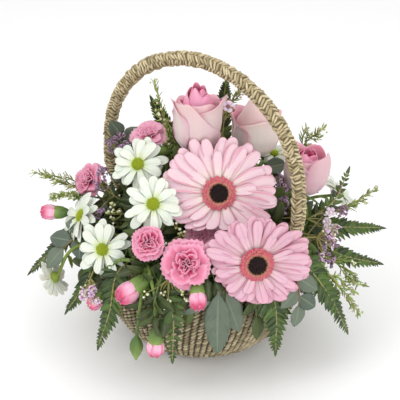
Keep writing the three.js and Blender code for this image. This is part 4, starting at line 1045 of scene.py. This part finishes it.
daisy_sprays = {
    "high": (["upper", "middle"], (-40, -36, 142), (-30, -28, 108)),
    "left": (["lower", "side", "drooping"], (-88, -34, 124), (-58, -22, 114)),
    "right": (["right", "hidden"], (90, 20, 126), (60, 14, 114)),
    "back": (["back"], (-42, 68, 136), (-30, 50, 112)),
}
for i, (name, (heads, hub, root)) in enumerate(daisy_sprays.items()):
    rng = np.random.default_rng(130 + i)
    form = Form()
    hub = np.array(hub, float)
    stem(form, [hub, root], 2.1, 2.1, 6, 9, 0.5, 1)
    for key in heads:
        at, way, spin, radius = daisies[key]
        put = seated(at, way, spin)
        buttons, out = studs(110, radius * 0.21, 2.2, 1.5, 0.5, rng, 5)
        form.add(put(buttons + np.array([0, 0, 1.2])), rng.random(len(out)), 0, closed=True)
        under = lathe([[1.3, -7], [2.6, -6], [5.4, -3], [5.6, -1.4], [4.4, -0.6]], 16)
        form.add(put(under), 0.4, 0.8, closed=True)
        mound = lathe([[radius * 0.2, 0.6], [radius * 0.2, 1.8], [radius * 0.12, 3.0], [0.2, 3.6]], 16)
        form.add(put(mound), 0.3, 0, closed=True)
        foot = behind(at, way, 5.5)
        drop = (-128, -42, 112) if key == "drooping" else foot * 0.5 + hub * 0.5 + [0, 0, 4]
        points = [foot, drop, hub]
        stem(form, points, 1.5, 1.9, 16, 8, 0.5, 1)
        for share in (0.4, 0.66):
            spot, along, side = branching(points, share, rng)
            leaf = blades(
                [spot], [side - along * 0.6], [(0, 0, 1)], [rng.uniform(12, 18)], [3.6], 0.15, 0.3, 14, 5
            )
            lobes = np.sin(np.arange(14) * 1.9)[None, :, None, None]
            leaf[:, :, (0, -1)] += 0.18 * (leaf[:, :, (0, -1)] - leaf[:, :, 2:3]) * lobes
            form.add(leaf, rng.random(1), 1)
    form.build("daisy_spray_" + name, [daisy_lime], ["daisy_green_" + name], "daisy_lime")


# Leatherleaf fern: short fronds of tapering leaflets, each cut into lobes, dark green and waxy on top and
# paler below, on thin tan stalks. They fill the gaps and fan out past the basket all round.
def leafy(name, top, dark, vein, pale, lines, rough, coat=0.0):
    """A leaf's skin: mottled green, a lighter midrib and side veins, paler where its tone is high."""
    s = Shader(name, Subsurface_Weight=0.06, Subsurface_Scale=0.003, Coat_Weight=coat)
    across, along, pick, tone = s.grid()
    cloud = s.noise(120, 4)
    grain = s.noise(1100, 2)
    colour = s.mix(dark, top, (cloud * 0.7 + pick * 0.6 - 0.15).ramp(0.15, 0.85))
    rib = 1 - (abs(across - 0.5) * 2).ramp(0.0, 0.14)
    side = 1 - abs(((along * lines - abs(across - 0.5) * 5) * math.pi).sine()).ramp(0.0, 0.3)
    colour = s.mix(colour, vein, rib * 0.6 + side * 0.22)
    colour = s.mix(colour, pale, tone)
    return s.finish(colour, rough + grain * 0.18, rib * -0.5 + side * -0.35 + cloud * 0.6, 0.45, 0.25)


fern_top = leafy("fern_top", (70, 98, 28), (26, 46, 12), (96, 126, 58), (150, 142, 84), 9, 0.42, 0.08)
fern_under = leafy("fern_under", (96, 126, 66), (62, 90, 44), (130, 150, 90), (150, 142, 84), 9, 0.6)


def pinnae(form, bases, ways, faces, lengths, halves, rng):
    """Fern leaflets: long tapering blades whose edges are cut into slanting pointed teeth down each side."""
    teeth, per = 7, 3
    rows, cols = teeth * per + 1, 3
    t = np.linspace(0, 1, rows)
    phase = (t * teeth + 1e-6) % 1.0
    swing = 0.62 + 0.38 * (1 - phase) ** 0.8 * np.minimum(1, phase * 5 + 0.35)
    body = np.interp(t, [0, 0.05, 0.28, 0.7, 1], [0.35, 0.9, 1, 0.6, 0.03])
    grids = blades(bases, ways, faces, lengths, halves, 0.12, 0.1, rows, cols, (t, body * swing))
    # each tooth points on towards the leaflet's tip
    ahead = np.asarray([unit(w) for w in ways])[:, None, None] * np.asarray(lengths).reshape(-1, 1, 1, 1)
    reach = (np.abs(np.linspace(-1, 1, cols)) ** 1.5)[None, None, :, None] * (1 - t)[None, :, None, None]
    form.add(grids + ahead * reach * 0.06, rng.random(len(bases)), 0)


fern_bunches = {
    "left": ((-84, 0, 118), (-62, 0, 112), [
        ([(-112, 0, 120), (-142, -10, 102), (-174, -20, 74)], 7, 17, (-0.2, -0.5, 1)),
        ([(-98, -34, 116), (-113, -60, 86), (-131, -70, 62)], 6, 16, (-0.5, -0.7, 0.6)),
    ]),
    "front_left": ((-64, -62, 118), (-48, -46, 112), [
        ([(-80, -86, 112), (-87, -100, 80), (-99, -103, 43)], 6, 17, (-0.5, -0.8, 0.4)),
        ([(-44, -96, 116), (-28, -124, 98), (-28, -128, 46)], 6, 17, (0, -1, 0.3)),
    ]),
    "front_right": ((50, -72, 120), (38, -54, 114), [
        ([(58, -99, 119), (67, -110, 92), (68, -120, 50)], 6, 25, (0.3, -1, 0.3)),
        ([(92, -74, 117), (120, -82, 86), (141, -78, 42)], 7, 19, (0.6, -0.8, 0.5)),
    ]),
    "right": ((84, -10, 123), (62, -8, 117), [
        ([(108, -16, 124), (142, -18, 124), (178, -12, 120)], 7, 17, (0.1, -0.5, 1)),
        ([(108, -34, 117), (140, -44, 106), (173, -40, 96)], 6, 15, (0.3, -0.6, 0.9)),
        ([(110, -22, 140), (128, -24, 158), (140, -14, 182)], 4, 9, (0.2, -0.9, 0.4)),
    ]),
    "back": ((0, 84, 123), (0, 62, 117), [
        ([(-6, 110, 122), (-12, 130, 108), (-14, 142, 72)], 6, 18, (0, 0.8, 0.6)),
        ([(48, 104, 124), (84, 116, 114), (104, 122, 84)], 6, 17, (0.4, 0.7, 0.6)),
        ([(-56, 102, 124), (-92, 110, 114), (-114, 112, 84)], 6, 17, (-0.4, 0.7, 0.6)),
    ]),
    "high_back": ((10, 50, 133), (8, 42, 112), [
        ([(16, 66, 172), (20, 72, 210), (24, 68, 244)], 7, 16, (0, -0.9, 0.2)),
        ([(-20, 56, 168), (-38, 56, 202), (-50, 48, 232)], 6, 14, (0, -0.9, 0.2)),
    ]),
}
for i, (name, (entry, inner, fronds)) in enumerate(fern_bunches.items()):
    rng = np.random.default_rng(150 + i)
    form = Form()
    stem(form, [entry, inner], 1.8, 1.8, 4, 7, 0.5, 1)
    for points, pairs, width, face in fronds:
        path = [entry, *points]
        count = round(pairs * 2.6)
        span = strides(curve(path, np.linspace(0, 1, 30))).sum() * 0.78
        step = (np.arange(count + 1) + 0.3) / (count + 0.3)
        share = 0.21 + 0.78 * (1 - (1 - step[:-1]) ** 1.4)
        gaps = span * np.diff(1 - (1 - step) ** 1.4)
        at = curve(path, share)
        ahead = curve(path, np.minimum(1, share + 0.02)) - curve(path, np.minimum(1, share + 0.02) - 0.03)
        bases, ways, faces, lengths, halves = [], [], [], [], []
        for k, (spot, way) in enumerate(zip(at, ahead)):
            way = unit(way)
            side = unit(np.cross(way, face))
            up = np.cross(side, way)
            onward = (share[k] - 0.22) / 0.78
            reach = width * 1.12 * min(1, 0.7 + 1.6 * onward) * (1 - onward) ** 0.85 + 3.6
            for sign in (-1, 1):
                bases.append(spot)
                ways.append(way * rng.uniform(0.75, 0.95) + side * sign + up * rng.uniform(-0.1, 0.16))
                faces.append(up + rng.normal(0, 0.12, 3))
                lengths.append(reach * rng.uniform(0.98, 1.14))
                halves.append(np.clip(gaps[k] * 0.86, reach * 0.2, reach * 0.36))
        bases.append(curve(path, [0.985])[0])
        ways.append(ahead[-1])
        faces.append(face)
        lengths.append(9)
        halves.append(2.2)
        pinnae(form, bases, ways, faces, lengths, halves, rng)
        stem(form, path, 1.3, 0.4, 26, 6, 0.4, 0.9)
    form.build("fern_fronds_" + name, [fern_top, fern_under], ["fern_" + name], "fern_leaf", thick=0.3)


# Eucalyptus: thick leathery leaves, grey green with a waxy bloom and a pale midrib, in turn along thin
# red-brown twigs. One long leaf hangs over the rim at the front, a broad one stands beside the handle and
# others fill the sides.
euca_top = leafy(
    "eucalyptus_top", (98, 110, 93), (66, 83, 69), (124, 138, 114), (120, 96, 70), 8, 0.5, 0.05
)
euca_under = leafy(
    "eucalyptus_under", (130, 144, 124), (94, 114, 94), (164, 178, 156), (120, 96, 70), 8, 0.62
)
eucalyptus_bunches = {
    "front": (
        (12, -86, 122), (9, -62, 115), [(14, -103, 119.5), (15.5, -113.2, 111), (16, -114.5, 96)], 2, 12.5,
        58, 0.93, 0.26, (0.1, -1, 0.2),
    ),
    "left": (
        (-84, -14, 121), (-60, -10, 115), [(-104, -17, 127), (-122, -31, 122), (-138, -36, 110)], 5, 9.5,
        25, 0.3, 1.2, (-0.3, -0.7, 0.7),
    ),
    "right": (
        (62, -62, 122), (46, -46, 115), [(82, -86, 121), (88, -103, 108), (89, -107, 92)], 4, 8.5, 25, 0.5,
        1.2, (0.4, -0.9, 0.3),
    ),
    "back": (
        (-26, 40, 133), (-22, 34, 112), [(-60, 34, 160), (-74, 30, 188), (-80, 22, 206)], 5, 8, 23, 0.42,
        1.1, (-0.2, -0.9, 0.4),
    ),
}
eucalyptus_shape = ([0, 0.05, 0.12, 0.3, 0.5, 0.75, 0.92, 1], [0.08, 0.1, 0.42, 0.9, 1, 0.74, 0.34, 0.03])
for i, (name, twig_plan) in enumerate(eucalyptus_bunches.items()):
    entry, inner, path, count, half, length, start, lean, face = twig_plan
    rng = np.random.default_rng(170 + i)
    form = Form()
    path = [entry, *path]
    stem(form, [entry, inner], 1.7, 1.7, 4, 7, 0.5, 1)
    stem(form, path, 1.5, 0.8, 24, 7, 0.5, 1)
    bases, ways, faces, lengths, halves = [], [], [], [], []
    for k in range(count):
        share = start + (1 - start) * k / max(1, count - 1) * 0.96
        spot, ahead = curve(path, [share, min(1, share + 0.02)])
        before = curve(path, [share - 0.02])[0]
        way = unit(ahead - before)
        side = unit(np.cross(way, face)) * (1 if k % 2 else -1)
        bases.append(spot)
        ways.append(way + side * (lean if k < count - 1 else 0.15))
        faces.append(np.asarray(face, float) + rng.normal(0, 0.12, 3))
        lengths.append(length * rng.uniform(0.92, 1.06))
        halves.append(half)
    # the front leaves hang free and are placed one by one
    if name == "front":
        bases = [np.array(b, float) for b in ((14, -117, 114), (19, -114, 112), (9, -116, 103))]
        ways = [(-0.02, -0.12, -1), (0.36, -0.04, -1), (-1, -0.22, -0.42)]
        faces = [(-0.15, -1, 0.15), (0.3, -1, 0.1), (0.1, -1, 0.5)]
        lengths, halves, count = [70, 50, 32], [12.2, 10.5, 3.6], 3
    leaves = blades(bases, ways, faces, lengths, halves, 0.12, 0.12, 20, 9, eucalyptus_shape)
    form.add(leaves, rng.random(count), 0)
    form.build(
        "eucalyptus_twig_" + name, [euca_top, euca_under], ["eucalyptus_" + name], "eucalyptus_leaf",
        thick=0.5,
    )
form = Form()
path = [(58, 22, 112), (76, 26, 130), (85, 25, 152), (84.5, 20, 176)]
stem(form, path, 1.3, 0.8, 20, 7, 0.5, 1)
bases = [np.array(path[3]), np.array((85.0, 24, 158))]
ways = [(-0.98, -0.17, -0.15), (0.7, 0.6, 0.3)]
faces = [(-0.1, -0.85, 0.5), (0.3, 0.3, 1)]
leaves = blades(bases, ways, faces, [24, 19], [8.6, 6.4], 0.06, 0.12, 20, 9, eucalyptus_shape)
form.add(leaves, np.array([0.3, 0.7]), 0)
# the skins are swapped, so the paler underside colour lies on the face towards the viewer: painted light that
# lifts these leaves out of the shade of the handle and the first gerbera
form.build("eucalyptus_twig_high", [euca_under, euca_top], (), "eucalyptus_leaf", thick=0.5)


# Baeckea and solidago sprigs: wiry twigs set all round with short soft needles and, on one, tiny white star
# flowers and round buds. They rise behind the roses and trail past both sides of the basket.
sprig_leaf = leafy("sprig_leaf", (146, 168, 84), (92, 118, 50), (176, 188, 114), (150, 140, 84), 1, 0.55)
s = Shader("blossom", Subsurface_Weight=0.1, Subsurface_Scale=0.003)
_, along, pick, tone = s.grid()
blossom_tint = s.mix((198, 158, 206), (232, 208, 222), (along * 0.6 + pick * 0.5 - 0.1).ramp(0.1, 0.9))
blossom_tint = s.mix(blossom_tint, (176, 88, 130), (1 - along.ramp(0.05, 0.35)) * 0.7)
blossom = s.finish(s.mix(blossom_tint, (240, 238, 224), tone), 0.55, s.noise(800) + along, 0.3, 0.2)
s = Shader("bud_tint", Subsurface_Weight=0.08, Subsurface_Scale=0.003)
_, along, pick, tone = s.grid()
bead = s.mix((176, 188, 118), (238, 236, 214), (along + pick * 0.5 - 0.3).ramp(0.2, 0.8))
bud_tint = s.finish(s.mix(bead, (124, 62, 74), tone), 0.5, s.noise(900), 0.3, 0.2)


def all_round(ways, rng):
    """One random way out at right angles to each of some ways."""
    out = rng.normal(size=ways.shape)
    out -= ways * (out * ways).sum(1, keepdims=True)
    return units(out)


def needles(form, path, start, gap, length, half, rng):
    """Short narrow leaves in turn all round a twig."""
    span = strides(curve(path, np.linspace(0, 1, 24))).sum() * (1 - start)
    count = int(span / gap)
    share = start + (1 - start) * (np.arange(count) + rng.uniform(0, 0.8, count)) / count
    share = np.minimum(share, 0.995)
    spot = curve(path, share)
    way = curve(path, np.minimum(1, share + 0.01)) - curve(path, np.minimum(1, share + 0.01) - 0.02)
    way = units(way)
    outward = all_round(way, rng)
    ways = way * rng.uniform(0.5, 1.0, (count, 1)) + outward * 1.1 * rng.uniform(0.35, 0.95, (count, 1))
    lengths = length * rng.uniform(0.6, 1.15, count)
    leaves = blades(spot, ways, way + outward * -0.2, lengths, np.full(count, half), -0.1, 0.2, 4, 3)
    form.add(leaves, rng.random(count), 0)


def stars(form, spots, ways, radius, rng, tone, rise=0.3):
    """Tiny open flowers: a ring of rounded petals on each spot, facing its way."""
    grids, picks = [], []
    for spot, way in zip(spots, ways):
        put = seated(spot, way, rng.uniform(0, 6))
        outer = radius * rng.uniform(0.85, 1.1)
        grid, pick = rays(5, 0.3, outer, radius * 0.42, 0, radius * rise, rng, 5, 3, stray=0.08)
        grids.append(put(grid))
        picks.append(pick)
    form.add(np.concatenate(grids), np.concatenate(picks), tone)


def beads(form, spots, radius, rng, tone):
    """Round closed buds, a little longer than wide."""
    profile = np.array([[0.25, -1.1], [0.8, -0.7], [1.0, 0.0], [0.8, 0.75], [0.1, 1.2]])
    grids = []
    for spot in spots:
        way = rng.normal(size=3) + [0, 0, 0.6]
        grids.append(seated(spot, way)(lathe(profile, 7) * radius * rng.uniform(0.75, 1.15)))
    form.add(np.array(grids), rng.random(len(grids)), tone, closed=True)


def twig(form, path, thick, thin, tone=0.9, steps=18):
    """Add a thin six-sided twig."""
    stem(form, path, thick, thin, steps, 6, 0.5, tone)


def bunch(entry, inner, forks, rng, gap, length, half, shoots):
    """A bunch of twigs that share one stem in the foam; each fork has side shoots that end in a few buds."""
    form, tips = Form(), []
    stem(form, [entry, inner], 1.7, 1.7, 4, 7, 0.5, 1)
    for fork in forks:
        path = [entry, *fork]
        twig(form, path, 1.3, 0.5)
        needles(form, path, 0.3, gap, length, half, rng)
        tips.append(np.array(fork[-1], float))
        for k in range(shoots):
            share = 0.4 + 0.5 * k / shoots + rng.uniform(0, 0.05)
            spot, way, out = branching(path, share, rng)
            long = rng.uniform(0.75, 1.15) * 27 * (1.2 - share)
            bend = spot + way * long * 0.45 + out * long * 0.34
            shoot = [spot, bend, spot + way * long + out * long * 0.46]
            twig(form, shoot, 0.65, 0.35, steps=8)
            needles(form, shoot, 0.15, gap * 0.8, length, half, rng)
            tips.append(np.array(shoot[-1]))
    return form, tips


forked = {
    "top": (
        (-16, 2, 133), (-16, 2, 112),
        [[(-30, 4, 184), (-34, 4, 214), (-45, 2, 270)], [(6, 46, 178), (20, 48, 218), (36, 34, 248)]],
    ),
    "left": (
        (-80, 30, 127), (-58, 22, 118),
        [
            [(-110, 34, 140), (-140, 22, 152), (-168, 10, 172)],
            [(-112, 20, 138), (-130, 8, 148), (-146, -2, 150)],
        ],
    ),
    "right": (
        (82, 12, 128), (60, 8, 118),
        [[(108, 4, 131), (140, -2, 138), (173, 4, 154)], [(92, 40, 158), (104, 38, 190), (121, 27, 211)]],
    ),
    "low_right": (
        (78, -36, 118), (56, -26, 112),
        [
            [(104, -48, 117), (138, -50, 96), (160, -41, 70)],
            [(106, -62, 114), (132, -70, 88), (155, -61, 50)],
        ],
    ),
}
for i, (name, (entry, inner, forks)) in enumerate(forked.items()):
    rng = np.random.default_rng(190 + i)
    form, tips = bunch(entry, inner, forks, rng, 1.8, 8.2, 0.85, 6)
    form.build("sprig_twigs_" + name, [sprig_leaf], ["sprig_" + name], "sprig_green", thick=0.4)
    form = Form()
    spots = np.concatenate([tip + rng.normal(0, 1.7, (5, 3)) for tip in tips])
    beads(form, spots, 1.25, rng, np.repeat(rng.uniform(0, 0.45, len(tips)), 5))
    form.build("sprig_buds_" + name, [bud_tint], (), "sprig_green")
rng = np.random.default_rng(196)
form = Form()
stalk = [(-16, 2, 133), (14, 14, 180), (21, 3, 232)]
twig(form, stalk, 1.2, 0.6)
for head in ((24, -5, 247), (17, 9, 247), (29, 4, 240)):
    twig(form, [(21, 3, 230), head], 0.6, 0.4, steps=5)
form.build("waxflower_stalk", [sprig_leaf], (), "sprig_green")
form = Form()
stars(form, [(24, -5, 247), (17, 9, 247)], [(0.1, -0.8, 0.6), (-0.3, 0.5, 0.8)], 6.5, rng, 0.25)
form.build("waxflower_petals", [blossom], (), "filler_lilac", thick=0.3)
form = Form()
beads(form, [(24, -5.6, 247.6), (17, 9.4, 247.6), (29, 4, 240), (19, 2, 238), (26, 1, 251)], 1.9, rng, 0.85)
form.build("waxflower_buds", [bud_tint], (), "filler_lilac")


# Filler flowers: lilac limonium and waxflower in loose heads of tiny stars and beads on thread-like stalks.
# They stand low at the left and right, pushed into the foam between the daisies and the sprigs.
fillers = {
    "left": (
        (-76, -44, 119), (-56, -33, 114), [(-96, -62, 117), (-107, -74, 100)],
        [(-102, -86, 84), (-112, -80, 88), (-104, -84, 94)],
    ),
    "right": (
        (78, -24, 129), (56, -17, 119), [(94, -46, 129), (110, -48, 130)],
        [(118, -50, 138), (121, -52, 126), (114, -60, 114), (128, -38, 136)],
    ),
}
for i, (name, (entry, inner, path, heads)) in enumerate(fillers.items()):
    rng = np.random.default_rng(200 + i)
    stems, petals, knobs = Form(), Form(), Form()
    stem(stems, [entry, inner], 1.5, 1.5, 4, 7, 0.5, 1)
    twig(stems, [entry, *path], 1.2, 0.7)
    tip = np.array(path[-1], float)
    for head in heads:
        head = np.array(head, float)
        out = unit(head - tip)
        for k in range(4):
            spot = head + rng.normal(0, 2.6, 3)
            twig(stems, [tip, (tip + head) / 2 + rng.normal(0, 1.5, 3), spot], 0.55, 0.3, steps=6)
            stars(petals, [spot], [out + rng.normal(0, 0.5, 3) + [0, -0.4, 0.3]], 3.9, rng, 0.1 * (k % 2))
            near = spot + rng.normal(0, 2.2, (3, 3))
            beads(knobs, near, 0.95, rng, 0)
            for bud in near:
                twig(stems, [spot - out * 3, bud], 0.3, 0.25, steps=3)
    stems.build("filler_stalks_" + name, [sprig_leaf], ["filler_" + name], "sprig_green")
    petals.build("filler_stars_" + name, [blossom], (), "filler_lilac", thick=0.25)
    knobs.build("filler_buds_" + name, [bud_tint], (), "filler_lilac")


# Tiny flowers and closed buds between the big blooms: mauve statice clusters up the left of the handle and
# beside the gerbera, pale green buds in the dark gaps and pink-white waxflower on the right. Thread-thin
# stems root them in the foam.
s = Shader("statice", Subsurface_Weight=0.05, Subsurface_Scale=0.002)
_, along, pick, tone = s.grid()
mauve = s.mix((158, 124, 152), (210, 180, 214), (pick * 0.8 + along * 0.3).ramp(0.1, 0.9))
statice = s.finish(s.mix(mauve, (122, 92, 106), tone), 0.75, s.noise(700), 0.4, 0.3)
scatters = {
    "mauve_left": (
        [(-84, 20, 205), (-77, 10, 199), (-89, 15, 198), (-80, 16, 190)], (-50, 12, 129), "statice"
    ),
    "lilac_left": ([(-99, -5, 179), (-100, -10, 167), (-102, -25, 145)], (-62, -6, 126), "statice"),
    "mauve_right": (
        [(71, -20, 177), (78, -20, 169), (72, -25, 163), (79, -28, 156)], (52, -12, 129), "statice"
    ),
    "lilac_right": (
        [
            (119, -45, 127), (115, -48, 119), (123, -50, 106), (115, -52, 95), (104, -60, 77),
            (128, -40, 121), (136, -20, 145), (134, 0, 155),
        ],
        (66, -30, 127),
        "statice",
    ),
    "buds_left": (
        [(-89, -35, 158), (-83, -35, 151), (-92, -38, 150), (-86, -40, 144)], (-60, -24, 127), "buds"
    ),
    "buds_mid": (
        [(-24, -80, 160), (-19, -82, 154), (-19, -84, 149), (-31, -88, 145)], (-14, -60, 127), "buds"
    ),
    "buds_front": (
        [
            (-52, -119, 113), (-46, -120, 106), (-39, -121, 111), (-30, -123, 105), (-18, -121, 115),
            (-14, -123, 108), (-34, -122, 98), (-24, -122, 92),
        ],
        (-26, -66, 122),
        "buds",
    ),
    "wax_right": (
        [(124, -30, 147), (121, -32, 138), (127, -34, 131), (118, -34, 132)], (64, -18, 128), "wax"
    ),
}
for i, (name, (heads, foot, kind)) in enumerate(scatters.items()):
    rng = np.random.default_rng(240 + i)
    stems, flowers = Form(), Form()
    foot = np.array(foot, float)
    centre = np.mean(heads, axis=0)
    fork = foot * 0.35 + centre * 0.65 + [0, 0, 5]
    if name == "buds_front":
        fork = np.array([-30, -108, 122])
    twig(stems, [foot, foot * 0.6 + fork * 0.4 + [0, 0, 4], fork], 1.0, 0.7)
    for head in np.array(heads, float):
        twig(stems, [fork, (fork + head) / 2 + rng.normal(0, 1.5, 3), head], 0.6, 0.4, steps=7)
        if kind == "wax":
            stars(flowers, [head], [(0.2, -0.8, 0.5) + rng.normal(0, 0.3, 3)], 5.4, rng, 0.45)
            beads(flowers, [head + [0, -0.6, 0.6]], 1.5, rng, 0.7)
            continue
        if kind == "statice":
            spots = head + rng.normal(0, 2.7, (13, 3))
            ways = spots - head + rng.normal(0, 0.5, (13, 3)) + unit(head - fork)
            stars(flowers, spots, ways, 2.3, rng, rng.uniform(0, 0.6), 0.7)
        else:
            spots = head + rng.normal(0, 1.9, (4, 3))
            beads(flowers, spots, 1.45, rng, 0)
        for spot in spots:
            twig(stems, [head - unit(head - fork) * 2, spot], 0.35, 0.3, steps=3)
    stems.build("thread_stems_" + name, [sprig_leaf], (), "sprig_green")
    material = {"statice": statice, "buds": bud_tint, "wax": blossom}[kind]
    thick = 0.25 if kind != "buds" else 0.0
    flowers.build("small_flowers_" + name, [material], (), "filler_lilac", thick)


# Greenery between the flowers: short leafy stems of dark glossy leaves all through the arrangement, and some
# that lap over the rim, all stuck in the foam, so that no foam or rim shows. Their near-black greens are
# partly the leaves' own colour and partly painted shade, so the gaps read deep green.
rng = np.random.default_rng(220)
# the leaves' darkest green, near black, is partly their own colour and partly painted shade in the gaps
# between the flowers
deep_leaf_painted_shade = leafy("deep_leaf_painted_shade", (62, 80, 24), (22, 36, 9), (88, 112, 52), (96, 112, 56), 7, 0.46, 0.06)
leaf_shape = (np.linspace(0, 1, 9), [0.1, 0.55, 0.82, 1.0, 0.96, 0.8, 0.62, 0.34, 0.02])
# each bloom's place, way, radius and how far a leaf stays behind and in front of it
blooms = [(at, way, radius * 1.04, -8, 60) for at, way, _, radius, _ in gerberas]
blooms += [(at, way, 28, -8, 90) for at, way, *_ in roses]
blooms += [(at, way, radius, -6, 50) for at, way, _, radius, _ in carnations.values()]
blooms += [(at, way, radius, -4, 40) for at, way, _, radius in daisies.values()]
blooms += [(at, way, 12 * size, -3, 34) for at, way, size in buds]


def clear(points):
    """Which points are neither within a bloom nor straight in front of one."""
    free = np.ones(len(points), bool)
    for at, way, radius, low, high in blooms:
        offset = points - np.array(at, float)
        along = offset @ unit(way)
        aside = np.linalg.norm(offset - along[:, None] * unit(way), axis=1)
        free &= (aside > radius) | (along < low) | (along > high)
    return free


def leafy_stem(form, path, count, size, rng, start=0.3):
    """A woody stem with leaves in turn along it and one at its tip, cut short where a bloom is in its way."""
    line = curve(path, np.linspace(0, 1, 21))
    stop = np.argmin(np.append(clear(line), False))
    if stop < 5:
        return
    path = list(line[:stop:2])
    twig(form, path, 1.3, 0.6, 1.0, 9)
    share = start + (0.96 - start) * (np.arange(count) + rng.uniform(0, 0.5, count)) / count
    share = np.append(share, 0.985)
    spot = curve(path, share)
    way = units(spot - curve(path, share - 0.04))
    spread = all_round(way, rng)
    spread[-1] *= 0.1
    faces = units(spot - np.array([0, 0, 110.0])) + rng.normal(0, 0.25, (count + 1, 3))
    lengths = size * rng.uniform(0.75, 1.2, count + 1)
    ways = way * 0.7 + spread
    ends = spot + units(ways) * lengths[:, None]
    free = clear(spot) & clear(spot * 0.5 + ends * 0.5) & clear(ends)
    halves = lengths * rng.uniform(0.2, 0.28, count + 1)
    leaves = blades(
        spot[free], ways[free], faces[free], lengths[free], halves[free], 0.2, 0.2, 7, 3, leaf_shape
    )
    if len(leaves):
        form.add(leaves, rng.random(len(leaves)), rng.uniform(0, 0.25, len(leaves)))


DEEP_STEMS = 46
form = Form()
for k in range(DEEP_STEMS):
    angle = k * GOLDEN_ANGLE
    out = math.sqrt((k + 0.6) / DEEP_STEMS)
    foot = np.array([66 * out * math.cos(angle), 60 * out * math.sin(angle), 128.0])
    height = 118 + 62 * math.sqrt(1 - 0.86 * out**2)
    dome = np.array([96 * out * math.cos(angle), 88 * out * math.sin(angle), height])
    dome += rng.normal(0, 3, 3)
    leafy_stem(form, [foot, foot * 0.45 + dome * 0.55 + [0, 0, 4], dome], 9, 23, rng)
form.build("deep_greenery", [deep_leaf_painted_shade, fern_under], (), "fern_leaf", thick=0.3)
RIM_STEMS = 40
form = Form()
for k in range(RIM_STEMS):
    angle = k * 2 * math.pi / RIM_STEMS + rng.uniform(-0.06, 0.06)
    c, n = math.cos(angle), math.sin(angle)
    drop = rng.uniform(78, 104) if n < 0.3 else rng.uniform(90, 110)
    reach = rng.uniform(116, 126)
    size = 24
    # they stay short and small where the front eucalyptus leaf hangs
    if n < 0 and -6 < 120 * c < 38:
        drop, reach, size = rng.uniform(104, 110), 112, 17
    path = [(66 * c, 66 * n, 126), (100 * c, 100 * n, 124), (reach * c, reach * n, drop)]
    leafy_stem(form, path, 8, size, rng, 0.4)
for path in (
    [(-42, -58, 124), (-54, -104, 124), (-58, -126, 104), (-54, -130, 84)],
    [(-30, -60, 124), (-38, -108, 122), (-44, -127, 104), (-42, -132, 88)],
    [(-58, -50, 124), (-84, -88, 122), (-92, -98, 98), (-90, -98, 72)],
    [(6, -56, 124), (11, -100, 125), (15, -114, 119), (11, -118, 106)],
):
    leafy_stem(form, path, 9, 19, rng, 0.5)
for base, way, half in (
    ((4, -109, 122), (0.1, -0.3, -0.95), 6.5),
    ((11, -111, 121), (0.35, -0.25, -0.9), 6.0),
):
    leaf = blades(
        [np.array(base, float)], [way], [(0.1, -1.0, 0.4)], [25], [half], 0, 0.2, 7, 3, leaf_shape
    )
    form.add(leaf, 0.4, 0.1)
    twig(form, [(6, -60, 124), (7, -96, 126), base], 1.0, 0.6, 1.0, 9)
form.build("rim_greenery", [deep_leaf_painted_shade, fern_under], (), "fern_leaf", thick=0.3)
